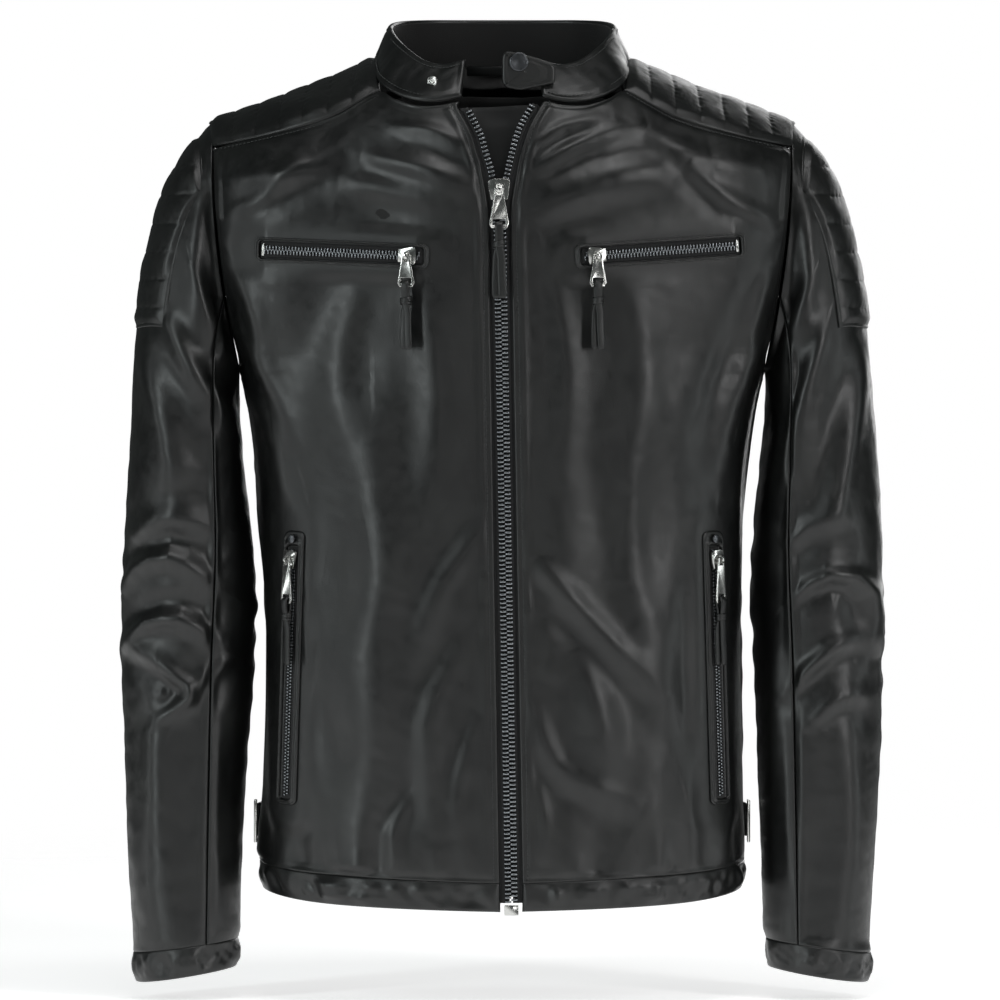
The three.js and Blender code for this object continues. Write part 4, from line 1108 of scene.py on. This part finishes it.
def hem_bands():
    for side in (RIGHT, LEFT):
        name = SIDE_NAME[side]
        start = float(abs(share_of(FRONT, zip_x(-640) + side * LAPEL_GAP, -640.0)) / 2)

        def point(u, v):
            turn = mix(start, 1.0035, u)
            return round_torso(side, turn, mix(along(HEM_EDGE, turn), along(HEM_SEAM, turn) + 1.6, v))
        drape = lambda p: 1.3 + 1.5 * waves(p * (1, 1, 0.25), 24,
                                            103 + side) + 0.7 * waves(p * (1, 1, 0.6), 13, 107 + side)
        solid = hide(point, edged(260, 420), edged(16, 21), drape, 2.0, edge=2.0)
        piece(f"{name}_hem", [solid], material("black_cowhide"), [f"{name}_hem_band"])


def collar():
    low, high = collar_lines()

    def middle(u, v):
        return np.stack([mix(along(low, u, k), along(high, u, k), v) for k in (1, 2, 3)], -1)

    u, v = edged(300, 560), edged(22, 40)
    base = middle(*np.meshgrid(u, v, indexing="ij"))
    normal = normals(base, from_torso)
    away = edge_distance(base)
    lift = 2.4 - rounded(away, 2.3) - 0.5 * stitch_groove(away, 4.6) + smooth(away / 5) * (
        0.5 * waves(base, 46, 109) + 0.08 * waves(base, 12, 113))
    crease = np.exp(-(((u - 0.215) / 0.006) ** 2)) + np.exp(-(((u - 0.785) / 0.006) ** 2))
    outer = base + normal * (lift - 0.9 * crease[:, None])[..., None]
    inner = base - normal * (2.0 - rounded(away, 1.7))[..., None]
    piece("band_collar", [between(outer, inner)], material("black_cowhide"), ["collar"])
    rows = []
    for share in (0.13, 0.87):
        places = np.linspace(0.01, 0.99, 180)
        at = middle(places, np.full(180, share))
        way = unit(np.gradient(at, axis=0))
        up = unit(middle(places, np.full(180, share + 0.05)) - at)
        out = unit(np.cross(way, up))
        out = out * np.where((out * from_torso(at)).sum(-1, keepdims=True) < 0, -1, 1)
        verts, quads = chamfered_block((0.6, 2.2, 0.6), 0.16)
        rows.append(copies(verts, quads, at + out * 2.25, np.cross(way, out), way, out))
    piece("collar_stitching", rows, material("bonded_nylon_thread"))
    inner_cloth = base - normal * 2.1
    lining = between(inner_cloth[4:-4, 3:-3], (inner_cloth - normal * 0.7)[4:-4, 3:-3])
    piece("collar_facing", [lining], material("black_polyester_lining"))


def local_axes(joint):
    """A pull's or thong's own place and its directions across, up and out, from its joint."""
    across = -np.array(joint["axis"], float)
    up = np.array([0.0, 0.0, 1.0])
    return np.array(joint["pos_m"]) / MM, across, up, np.cross(across, up)


def in_place(points, place, across, up, out):
    points = np.asarray(points, float)
    return place + points[..., :1] * across + points[..., 1:2] * up + points[..., 2:] * out


def thongs():
    """Each thong: a flat lace looped round the pull's bar, two strands, a bound knot and two cut tails."""
    for zip_name in ZIPS:
        node = f"{zip_name}_thong"
        place, across, up, out = local_axes(JOINTS[f"{zip_name}_thong_swing"])
        length = (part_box(node)[1][2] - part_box(node)[0][2]) / MM - 3.5
        wide, thick = (3.3, 1.3) if zip_name == "main" else (2.9, 1.2)
        turn = np.linspace(0, np.pi, 14)
        loop = np.stack([0 * turn, 2.75 * np.sin(turn), 2.75 * np.cos(turn)], -1)
        down = np.linspace(0, 1, 44)[1:]
        knot = 0.24
        apart = wide * 0.62 * smooth((down - knot) / 0.25)

        def strand(sign):
            sway = 0.5 * np.sin(2.3 * np.pi * down + sign)
            level = sign * mix(2.75, thick, smooth(down / knot)) + 0.3 * np.sin(9 * down)
            return np.stack([sign * apart + sway * down, -length * 0.985 * down, level], -1)

        path = np.concatenate([strand(1)[::-1], loop, strand(-1)])
        run = np.linspace(-1, 1, len(path))
        taper = np.clip((1 - np.abs(run)) / 0.035, 0.25, 1) ** 0.5
        lace = oval(thick, wide, 14, 3.2) * taper[:, None, None] ** 0.7
        body = sweep(in_place(path, place, across, up, out), lace, across)
        binding = []
        for k in range(3):
            angle = np.linspace(0, 2 * np.pi, 26)
            centre = -length * knot + (k - 1) * 1.9
            ring = np.stack([(wide + 1.0) * np.cos(angle), centre + 0.7 * np.sin(angle + k),
                             (thick * 2 + 0.9) * np.sin(angle)], -1)
            binding.append(sweep(in_place(ring, place, across, up, out), oval(0.75, 1.05, 8, 3), up))
        piece(f"{zip_name}_lace", [body, *binding], material("black_lace_leather"), [node], node)


def zip_metalwork():
    for zip_name in ZIPS:
        for part in ("slider", "pull"):
            node = f"{zip_name}_{part}"
            bevelled_copy(node, material("nickel_plated_zinc"), node,
                          0.34 if part == "pull" else 0.3)
    bevelled_copy("retainer_box", material("nickel_plated_zinc"), BODY, 0.6)
    for side in (RIGHT, LEFT):
        node = f"{SIDE_NAME[side]}_strap_ring"
        bevelled_copy(node, material("nickel_plated_zinc"), node, 0.7, 3)


def strip(surface, knots, count, edges, levels):
    """A flat band along a line of the front, between two offsets and two levels, ends square."""
    at, way, out, side = line_on(surface, knots, np.linspace(0, 1, count))
    steps = np.linspace(edges[0], edges[1], 7)
    layer = lambda level: at[:, None] + side[:, None] * steps[:, None] + out[:, None] * level
    return between(layer(levels[0]), layer(levels[1]))


def tooth():
    """A cast tooth: a long block with a raised head at its tip and a cut-back foot."""
    foot_verts, foot_quads = chamfered_block((4.6, 1.5, 2.3), 0.3)
    head_verts, head_quads = chamfered_block((1.7, 1.5, 2.7), 0.4)
    return (np.concatenate([foot_verts, head_verts + (-1.6, 0, 0)]),
            np.concatenate([foot_quads, head_quads + len(foot_verts)]))


def main_zip():
    pitch = bpy.context.scene.jacket_sizes.tooth_pitch / MM
    for side in (RIGHT, LEFT):
        name = SIDE_NAME[side]
        straight = [[zip_x(z) + side * TEETH_OFFSET, z] for z in (-641, -500, -300, -105, -94)]
        line = [*straight, *ROW[side][1:]]
        knots = measured(line)
        length = float(np.linalg.norm(np.diff(line, axis=0), axis=1).sum())
        count = int(length / pitch)
        places = (np.arange(count) + (0.25 if side == RIGHT else 0.75)) * pitch / length
        at, way, out, across = line_on(front, knots, places[places < 1])
        across = across * np.where(across[:, :1] * side < 0, -1, 1)
        verts, quads = tooth()
        rows = copies(verts, quads, at + across * -0.2 - out * 1.2, across, way, out)
        piece(f"{name}_zip_teeth", [rows], material("black_nickel_plated_teeth"), [f"{name}_main_teeth"])
        lean_out = 1 if across[0] @ line_on(front, knots, np.array([0.5]))[3][0] > 0 else -1
        tape = strip(front, knots, 160, (lean_out * -1.4, lean_out * 9.5), (-2.9, -3.5))
        cord = strip(front, knots, 160, (lean_out * 2.0, lean_out * 3.6), (-1.7, -3.0))
        piece(f"{name}_zip_tape", [tape, cord], material("black_zip_tape"), [f"{name}_main_tape"])


def wind_flap():
    levels = [-636, -400, -200, -100, -60, -24]
    knots = measured([[float(zip_x(z)), z] for z in levels])
    at, way, out, side = line_on(front, knots, edged(120, 615))
    side = side * np.where(side[:, :1] < 0, -1, 1)
    widen = smooth((np.linspace(0, 1, len(at)) - 0.86) / 0.14)
    near, far = mix(-12, -32, widen), mix(30, 31, widen)
    across = np.linspace(0, 1, 30)
    offset = near[:, None] + (far - near)[:, None] * across
    z = at[:, None, 2] + 0 * offset
    seam_line = 0.9 * np.exp(-(((z + 33 + 0.1 * offset) / 1.6) ** 2))
    lift = -5.0 - seam_line + 0.25 * np.sin(offset / 7 + z / 23)
    outer = at[:, None] + side[:, None] * offset[..., None] + out[:, None] * lift[..., None]
    inner = at[:, None] + side[:, None] * offset[..., None] - out[:, None] * 6.3
    # The flap is the jacket's own leather; its darker, duller material is painted shade for the recess behind the zip.
    piece("zip_wind_flap", [between(outer, inner)], material("black_leather_painted_shade"), ["wind_flap"])


def frame_loop(low, high, half, radius, per_corner=9, per_side=60):
    """A rounded frame's outline as (run, width) points, the same count whatever its size."""
    corner = lambda s, d, start: [(s + radius * math.cos(start + t), d + radius * math.sin(start + t))
                                  for t in np.linspace(0, math.pi / 2, per_corner)]
    inside = np.linspace(0, 1, per_side + 2)[1:-1]
    left, right = low + radius, high - radius
    points = [*corner(right, half - radius, 0), *((mix(right, left, t), half) for t in inside),
              *corner(left, half - radius, math.pi / 2), *corner(left, radius - half, math.pi),
              *((mix(left, right, t), -half) for t in inside), *corner(right, radius - half, 1.5 * math.pi)]
    return np.array(points)


def pocket_frame(zip_name):
    """A pocket's own plane: a function from (run, width) to x and height, its length and its squeeze."""
    _, start, end = POCKETS[zip_name]
    length = math.hypot(end[0] - start[0], end[1] - start[1])
    run = ((end[0] - start[0]) / length, (end[1] - start[1]) / length)
    flat = lambda s, d: (start[0] + run[0] * s - run[1] * d, start[1] + run[1] * s + run[0] * d)
    return flat, length, 0.68 if "hand" in zip_name else 1.0


def raised(flat, s, d, level):
    """Points at (s, d) of a pocket's plane, level millimetres off the front."""
    x, z = flat(s, d)
    base = front(x, z)
    normal = unit(np.cross(front(x + 0.5, z) - front(x - 0.5, z), front(x, z + 0.5) - front(x, z - 0.5)))
    normal = normal * np.where(normal[..., 1:2] > 0, -1, 1)
    return base + normal * np.asarray(level)[..., None]


def pockets():
    """Each pocket: a piped welt with a raised lip, its tape, and two rows of meshed teeth."""
    for zip_name in POCKETS:
        hand = "hand" in zip_name
        flat, length, squeeze = pocket_frame(zip_name)
        inner = frame_loop(-5.5, length + 3.5, 6.9 * squeeze, 2.6)
        outer = frame_loop(-17 if hand else -10, length + 8, 7.6 if hand else 9.5, 5)
        t = np.array([0, 0.04, 0.12, 0.22, 0.34, 0.44, 0.52, 0.6, 0.7, 0.8, 0.9, 0.96, 1.0])
        lip = 2.7 * np.sin(np.pi * np.clip(t / 0.44, 0, 1)) ** 0.6
        flange = np.where(t > 0.4, 1.25 - 0.9 * smooth((t - 0.9) / 0.1) - 0.5 * np.exp(-(((t - 0.62) / 0.05) ** 2)), 0)
        level = 0.7 + np.maximum(lip, flange)
        where = inner[:, None] * (1 - t)[:, None] + outer[:, None] * t[:, None]
        wobble = 0.12 * waves(np.concatenate([where, where[..., :1] * 0], -1), 9, 127)
        top = raised(flat, where[..., 0], where[..., 1], level + wobble * np.sin(np.pi * t))
        under = raised(flat, where[..., 0], where[..., 1], 0.15 + 0 * level + 0 * wobble)
        piece(f"{zip_name}_piping", [between(top, under, wrap=True)], material("black_cowhide"),
              [f"{zip_name}_welt"])
        middle = inner * 0.32 + outer * 0.68
        surface = lambda s, d: raised(flat, s, d, 0 * s + 1.55)
        closed = np.concatenate([middle, middle[:1]])
        at, way, out, across = line_on(surface, measured(closed),
                                       (np.arange(int(2 * length / 3.1)) + 0.5) / int(2 * length / 3.1))
        verts, quads = chamfered_block((0.55, 2.2, 0.55), 0.15)
        piece(f"{zip_name}_stitching", [copies(verts, quads, at + out * 0.1, across, way, out)],
              material("bonded_nylon_thread"))
        s, d = np.meshgrid(np.linspace(-4.5, length + 2.5, 90), np.linspace(-6.4, 6.4, 9) * squeeze,
                           indexing="ij")
        tape = between(raised(flat, s, d, 1.15 + 0 * s), raised(flat, s, d, 0.6 + 0 * s))
        piece(f"{zip_name}_tape", [tape], material("black_zip_tape"), [f"{zip_name}_zip"])
        pitch = 2.5
        rows = []
        for sign in (-1, 1):
            run = np.arange(-2 + (pitch / 2 if sign > 0 else 0), length + 1, pitch)
            centre = raised(flat, run, 0 * run + sign * 1.5 * squeeze, 1.95 + 0 * run)
            ahead = unit(raised(flat, run + 1, 0 * run,
                                1 + 0 * run) - raised(flat, run, 0 * run, 1 + 0 * run))
            side_way = unit(raised(flat, run, 0 * run + sign,
                                   1 + 0 * run) - raised(flat, run, 0 * run, 1 + 0 * run))
            verts, quads = chamfered_block((3.6, 1.15, 1.7), 0.28)
            rows.append(copies(verts, quads, centre, side_way, ahead,
                               unit(np.cross(ahead, side_way)) * sign))
        piece(f"{zip_name}_teeth", rows, material("black_nickel_plated_teeth"))
        if not hand:
            stop_verts, stop_quads = chamfered_block((2.4, 9.5, 1.6), 0.5)
            far = np.array([length + 0.5])
            centre = raised(flat, far, 0 * far, 2.3 + 0 * far)
            ahead = unit(raised(flat, far + 1, 0 * far,
                                1 + 0 * far) - raised(flat, far, 0 * far, 1 + 0 * far))
            side_way = unit(raised(flat, far, 0 * far + 1,
                                   1 + 0 * far) - raised(flat, far, 0 * far, 1 + 0 * far))
            piece(f"{zip_name}_end_stop", [copies(stop_verts, stop_quads, centre, ahead, side_way,
                                                  np.cross(ahead, side_way))],
                  material("nickel_plated_zinc"))


def box_middle(node):
    low, high = (np.array(corner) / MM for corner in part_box(node))
    return (low + high) / 2


def snaps():
    """Domed cap with a rolled rim, a ring-shaped stud with its socket, and two flat-headed rivets."""
    tab = np.array([0.0998, -0.995, 0.0])
    t = np.linspace(0, 1, 9)
    cap = [(0.3, -1.2), (7.3, -1.2), *((7.5 - 0.5 * a**2, -0.6 + 1.2 * a) for a in t), (6.4, 0.95),
           (6.0, 0.75), *((6.0 * (1 - a), 0.75 + 0.55 * math.sin(a * math.pi / 2)) for a in t[1:-1]),
           (0.25, 1.3)]
    piece("tab_snap_cap", [turned(cap, box_middle("snap_cap"), tab)], material("gunmetal_plated_brass"),
          ["snap_cap"],
          "collar_tab")
    seat = box_middle("snap_stud")
    out = unit(from_torso(seat) * (1, 1, 0))
    stud = [(0.3, -1.5), (4.5, -1.5), (4.5, -0.7), (4.1, -0.2), (3.3, -0.1), (2.6, -0.3), (2.3, 0.6),
            (2.4, 1.3), (1.9, 1.7), (1.2, 1.5),
            (0.9, 0.9), (0.2, 0.85)]
    piece("collar_stud", [turned(stud, seat, out)], material("nickel_plated_zinc"), ["snap_stud"])
    for side in (RIGHT, LEFT):
        node = f"{SIDE_NAME[side]}_hand_rivet"
        centre = box_middle(node)
        flat, _, _ = pocket_frame(f"{SIDE_NAME[side]}_hand")
        spot = np.array([-11.0])
        face = unit(raised(flat, spot, 0 * spot, 5 + 0 * spot) - raised(flat, spot, 0 * spot, 1 + 0 * spot))[0]
        head = [(0.2, -2.4), (3.2, -2.4), (3.5, -0.3), (3.3, 0.3), (2.5, 0.55), (1.6, 0.4), (0.9, 0.75),
                (0.2, 0.8)]
        piece(f"{SIDE_NAME[side]}_rivet", [turned(head, centre, face)], material("gunmetal_plated_brass"),
              [node])


def collar_tab():
    """The snap tab: its cut outline filled from its middle, padded, with turned edges."""
    joint = JOINTS["collar_tab_flex"]
    place = np.array(joint["pos_m"]) / MM
    out = unit(np.array([0.1, -1.0, 0.0]))
    up = np.array([0.0, 0.0, 1.0])
    across = np.cross(up, out)
    corners = [(0, -9.5), (0, 4), (-14, 10), (-38, 15.5), (-41, 12), (-41, -9), (-38, -13), (-27, -15)]
    outline = smooth_outline(corners, 3.0, 120)
    centre = outline.mean(0)
    share = np.concatenate([np.linspace(0.02, 0.9, 14), [0.93, 0.96, 0.98, 0.993, 1.0]])
    flat = centre + (outline - centre)[:, None] * share[None, :, None]
    away = (1 - share) * 13
    level = 1.9 - rounded(away, 1.7) + 0.25 * np.sin(flat[..., 0] / 5) - stitch_groove(away, 3.4, 0.4, 0.6)
    level = np.where(share > 0.5, level, 1.9 + 0 * level)
    top = in_place(np.concatenate([flat, level[..., None]], -1), place, across, up, out)
    low = in_place(np.concatenate([flat, 0 * level[..., None] - 1.5], -1), place, across, up, out)
    made = piece("snap_tab", [between(top, low, wrap=True)], material("black_cowhide"), ["collar_tab"],
                 "collar_tab")
    return made


def smooth_outline(corners, radius, count):
    """A closed outline through corners, each rounded by an arc, as evenly spread points."""
    corners = np.asarray(corners, float)
    before = unit(np.roll(corners, 1, 0) - corners)
    after = unit(np.roll(corners, -1, 0) - corners)
    t = np.linspace(0, 1, 7)[None, :, None]
    start, end = corners + before * radius, corners + after * radius
    arcs = (1 - t) ** 2 * start[:, None] + 2 * t * (1 - t) * corners[:, None] + t**2 * end[:, None]
    line = arcs.reshape(-1, 2)
    line = np.concatenate([line, line[:1]])
    run = np.concatenate([[0], np.cumsum(np.linalg.norm(np.diff(line, axis=0), axis=1))])
    at = np.linspace(0, run[-1], count, endpoint=False)
    return np.column_stack([np.interp(at, run, line[:, 0]), np.interp(at, run, line[:, 1])])


def waist_straps():
    for side in (RIGHT, LEFT):
        name = SIDE_NAME[side]
        point = lambda u, v: round_torso(side, mix(0.515, 0.72, u), mix(-597.0, -571.0, v))
        base = point(*np.meshgrid(edged(50, 90), edged(20, 26), indexing="ij"))
        normal = normals(base, from_torso)
        away = edge_distance(base)
        lift = 4.3 - rounded(away, 1.6) - stitch_groove(away, 3.4, 0.4, 0.7) + 0.3 * waves(base, 18, 131)
        solid = between(base + normal * lift[..., None], base + normal * 1.3)
        piece(f"{name}_adjuster", [solid], material("black_cowhide"), [f"{name}_waist_strap"])


def linings():
    depth = -7.6
    for side in (RIGHT, LEFT):
        name = SIDE_NAME[side]
        point = front_patch(side)
        base = point(*np.meshgrid(np.linspace(0.07, 1, 60), np.linspace(0.01, 0.97, 90), indexing="ij"))
        solid = lined(base, from_torso, depth, 137 + side)
        piece(f"{name}_front_cloth", [solid], material("black_polyester_lining"), [f"{name}_front_lining"])
        t, turn = np.meshgrid(np.linspace(0, 2 * np.pi, 90, endpoint=False), np.linspace(0.06, 0.985, 90),
                              indexing="ij")
        base = on_sleeve(side, turn, t)
        solid = lined(base, from_sleeve, -6.2, 139 + side, wrap=True)
        piece(f"{name}_sleeve_cloth", [solid], material("black_polyester_lining"),
              [f"{name}_sleeve_lining"])
        base = shoulder_patch(side)(*np.meshgrid(np.linspace(0.03, 0.97, 40), np.linspace(0.0, 1.0, 60),
                                                 indexing="ij"))
        piece(f"{name}_shoulder_cloth", [lined(base, from_torso, -4.5, 149 + side)],
              material("black_polyester_lining"))
    base = back_patch()(*np.meshgrid(np.linspace(0.04, 0.96, 110), np.linspace(0.01, 0.97, 90),
                                     indexing="ij"))
    piece("back_cloth", [lined(base, from_torso, -9.2, 151)], material("black_polyester_lining"),
          ["back_lining"])


def lined(base, out, depth, seed, wrap=False):
    """Lining cloth hung inside a surface at a depth, with soft slack."""
    normal = normals(base, out, wrap)
    slack = 0.5 * waves(base, 45, seed) + 0.15 * waves(base, 14, seed + 1)
    return between(base + normal * (depth + slack)[..., None],
                   base + normal * (depth + slack - 0.7)[..., None], wrap)


def hanger_loop():
    half = 27.0
    x = np.linspace(-half, half, 60)
    path = np.stack([x, -0.1 + 9.5 * (x / half) ** 2, 0 * x], -1)
    solid = sweep(path, oval(1.1, 4.0, 20, 3), (0, 0, 1))
    # The loop's darker, duller leather is painted shade inside the back neck.
    piece("hanging_loop", [solid], material("black_leather_painted_shade"), ["hanger_loop"])


# ---- the stage ----

PHOTO_WIDTH = 780.0  # what the view is wide, at the sleeves
LENS = 500.0
SENSOR = 36.0


def stage():
    """A long-lens camera square to the front, a pale floor that fades out, and broad soft lights."""
    scene = bpy.context.scene
    low, high = CAD_BOX
    middle = Vector((-1.6 * MM, AXIS_Y * MM, -334 * MM))
    distance = PHOTO_WIDTH * MM * LENS / SENSOR
    data = bpy.data.cameras.new("front_camera")
    data.lens = LENS
    data.sensor_width = SENSOR
    data.clip_end = 200
    camera = bpy.data.objects.new("front_camera", data)
    raise_by = math.radians(2.0)
    camera.location = middle + Vector((0, -math.cos(raise_by), math.sin(raise_by))) * distance
    camera.rotation_euler = (math.pi / 2 - raise_by, 0, 0)
    scene.collection.objects.link(camera)
    scene.camera = camera
    scene.view_settings.view_transform = "Standard"

    world = bpy.data.worlds.new("studio")
    scene.world = world
    world.use_nodes = True
    tree = world.node_tree
    tree.nodes.clear()
    ray = add_node(tree, "ShaderNodeLightPath")
    seen = add_node(tree, "ShaderNodeBackground", values={"Color": (1, 1, 1, 1), "Strength": 1.0})
    fill = add_node(tree, "ShaderNodeBackground", values={"Color": (0.9, 1.0, 0.97, 1), "Strength": 0.06})
    both = add_node(tree, "ShaderNodeMixShader", links={0: (ray, "Is Camera Ray"), 1: (fill, "Background"),
                                                        2: (seen, "Background")})
    add_node(tree, "ShaderNodeOutputWorld", links={"Surface": (both, "Shader")})

    lights = (
        ("key_softbox", (1.6, -1.85, 0.45), (0.34, 1.9), 19, (1.0, 1.0, 1.0)),
        ("left_softbox", (-1.65, -1.75, 0.25), (0.3, 1.9), 18, (0.93, 1.0, 1.0)),
        ("top_softbox", (0.2, -0.9, 1.7), (1.2, 0.5), 12, (1.0, 1.0, 1.0)),
        ("metal_glint", (0.0, -2.6, -0.2), (0.3, 0.3), 1.6, (1.0, 1.0, 1.0)),
        ("right_strip", (2.0, -0.4, -0.3), (0.2, 1.5), 4, (0.95, 1.0, 1.0)),
        ("left_strip", (-2.0, -0.4, -0.3), (0.2, 1.5), 4, (0.95, 1.0, 1.0)),
        ("back_softbox", (0.8, 2.2, 0.3), (1.2, 1.6), 16, (1.0, 1.0, 1.0)),
    )
    target = Vector((0, AXIS_Y * MM, -0.33))
    for name, place, size, power, colour in lights:
        lamp = bpy.data.lights.new(name, "AREA")
        lamp.shape = "RECTANGLE"
        lamp.size, lamp.size_y = size
        lamp.energy = power
        lamp.color = colour
        holder = bpy.data.objects.new(name, lamp)
        holder.location = place
        holder.rotation_euler = (target - Vector(place)).to_track_quat("-Z", "Y").to_euler()
        holder.visible_camera = False
        scene.collection.objects.link(holder)

    radius = 2.4
    turn = np.linspace(0, 2 * np.pi, 96, endpoint=False)
    rings = np.linspace(0.0002, 1, 12) * radius
    grid = np.stack([np.cos(turn)[:, None] * rings, np.sin(turn)[:, None] * rings + AXIS_Y * MM,
                     np.full((96, 12), low[2] - 0.012)], -1) / MM
    floor_mesh = bpy.data.meshes.new("floor")
    set_geometry(floor_mesh, grid.reshape(-1, 3), quad_grid(96, 12, True, 0)[:, ::-1])
    floor_mesh.materials.append(floor_material(radius))
    floor = bpy.data.objects.new("floor", floor_mesh)
    scene.collection.objects.link(floor)
    floor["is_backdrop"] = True


def floor_material(radius):
    """Matt white studio board that fades to nothing at its rim."""
    made, tree, surface, where = new_material("white_studio_board",
                                              **{"Base Color": (0.95, 0.95, 0.95, 1), "Roughness": 0.9,
                                                 "Emission Color": (1, 1, 1, 1), "Emission Strength": 0.62})
    scaled = add_node(tree, "ShaderNodeMapping", values={"Scale": (1 / radius, 1 / radius, 0)},
                      links={"Vector": (where, "Object")})
    away = add_node(tree, "ShaderNodeVectorMath", {"operation": "LENGTH"}, links={0: (scaled, "Vector")})
    fade = add_node(tree, "ShaderNodeMapRange", {"interpolation_type": "SMOOTHSTEP"},
                    {"From Min": 0.25, "From Max": 0.95, "To Min": 1.0, "To Max": 0.0},
                    {"Value": (away, "Value")})
    grain = add_node(tree, "ShaderNodeTexNoise", values={"Scale": 220.0},
                     links={"Vector": (where, "Object")})
    bump = add_node(tree, "ShaderNodeBump", values={"Strength": 0.04, "Distance": 0.0004},
                    links={"Height": (grain, "Fac")})
    tree.links.new(bump.outputs["Normal"], surface.inputs["Normal"])
    tree.links.new(fade.outputs["Result"], surface.inputs["Alpha"])
    return made


# ---- operators ----

class JACKET_OT_stage(bpy.types.Operator):
    """Set the camera, the lights and the floor"""
    bl_idname = "jacket.stage"
    bl_label = "Stage"

    def execute(self, context):
        stage()
        return {"FINISHED"}


class JACKET_OT_front(bpy.types.Operator):
    """Make the two draped front panels and their top stitching"""
    bl_idname = "jacket.front"
    bl_label = "Front panels"

    def execute(self, context):
        front_panels()
        return {"FINISHED"}


class JACKET_OT_back(bpy.types.Operator):
    """Make the draped back panel"""
    bl_idname = "jacket.back"
    bl_label = "Back panel"

    def execute(self, context):
        back_panel_piece()
        return {"FINISHED"}


class JACKET_OT_shoulders(bpy.types.Operator):
    """Make the quilted shoulders"""
    bl_idname = "jacket.shoulders"
    bl_label = "Quilted shoulders"

    def execute(self, context):
        shoulder_pads()
        return {"FINISHED"}


class JACKET_OT_sleeves(bpy.types.Operator):
    """Make the sleeves, their quilted patches and cuffs"""
    bl_idname = "jacket.sleeves"
    bl_label = "Sleeves"

    def execute(self, context):
        sleeves()
        sleeve_pads()
        cuffs()
        return {"FINISHED"}


class JACKET_OT_hem(bpy.types.Operator):
    """Make the hem bands"""
    bl_idname = "jacket.hem"
    bl_label = "Hem"

    def execute(self, context):
        hem_bands()
        return {"FINISHED"}


class JACKET_OT_collar(bpy.types.Operator):
    """Make the band collar, its snap tab and hanger loop"""
    bl_idname = "jacket.collar"
    bl_label = "Collar"

    def execute(self, context):
        collar()
        collar_tab()
        hanger_loop()
        return {"FINISHED"}


class JACKET_OT_main_zip(bpy.types.Operator):
    """Make the main zip's tapes and teeth and the wind flap behind it"""
    bl_idname = "jacket.main_zip"
    bl_label = "Main zip"

    def execute(self, context):
        main_zip()
        wind_flap()
        return {"FINISHED"}


class JACKET_OT_pockets(bpy.types.Operator):
    """Make the pockets' welts, tapes and teeth"""
    bl_idname = "jacket.pockets"
    bl_label = "Pockets"

    def execute(self, context):
        pockets()
        return {"FINISHED"}


class JACKET_OT_metal(bpy.types.Operator):
    """Finish the sliders, pulls, rings, snaps and rivets"""
    bl_idname = "jacket.metal"
    bl_label = "Metal fittings"

    def execute(self, context):
        zip_metalwork()
        snaps()
        return {"FINISHED"}


class JACKET_OT_thongs(bpy.types.Operator):
    """Make the leather laces on the pulls"""
    bl_idname = "jacket.thongs"
    bl_label = "Thongs"

    def execute(self, context):
        thongs()
        return {"FINISHED"}


class JACKET_OT_straps(bpy.types.Operator):
    """Make the waist straps"""
    bl_idname = "jacket.straps"
    bl_label = "Waist straps"

    def execute(self, context):
        waist_straps()
        return {"FINISHED"}


class JACKET_OT_lining(bpy.types.Operator):
    """Hang the lining"""
    bl_idname = "jacket.lining"
    bl_label = "Lining"

    def execute(self, context):
        linings()
        return {"FINISHED"}


OPERATORS = (
    JACKET_OT_stage, JACKET_OT_front, JACKET_OT_back, JACKET_OT_shoulders, JACKET_OT_sleeves, JACKET_OT_hem,
    JACKET_OT_collar, JACKET_OT_main_zip, JACKET_OT_pockets, JACKET_OT_metal, JACKET_OT_thongs,
    JACKET_OT_straps,
    JACKET_OT_lining,
)


class JACKET_PT_panel(bpy.types.Panel):
    """Lists the jacket's settings and the pieces that can be made"""
    bl_idname = "JACKET_PT_panel"
    bl_label = "Riding Jacket"
    bl_space_type = "VIEW_3D"
    bl_region_type = "UI"
    bl_category = "Jacket"

    def draw(self, context):
        for group in (context.scene.jacket_sizes, context.scene.jacket_colours):
            for name in group.__annotations__:
                self.layout.prop(group, name)
        for operator in OPERATORS:
            self.layout.operator(operator.bl_idname)


CLASSES = (JacketSizes, JacketColours, *OPERATORS, JACKET_PT_panel)


def register():
    for cls in CLASSES:
        bpy.utils.register_class(cls)
    bpy.types.Scene.jacket_sizes = PointerProperty(type=JacketSizes)
    bpy.types.Scene.jacket_colours = PointerProperty(type=JacketColours)


def unregister():
    del bpy.types.Scene.jacket_colours
    del bpy.types.Scene.jacket_sizes
    for cls in reversed(CLASSES):
        bpy.utils.unregister_class(cls)


def main():
    register()
    for operator in OPERATORS:
        group, name = operator.bl_idname.split(".")
        getattr(getattr(bpy.ops, group), name)()
    sizes = {"cad": [list(corner) for corner in CAD_BOX],
             "visual": [list(corner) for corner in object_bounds()]}


if __name__ == "__main__":
    main()
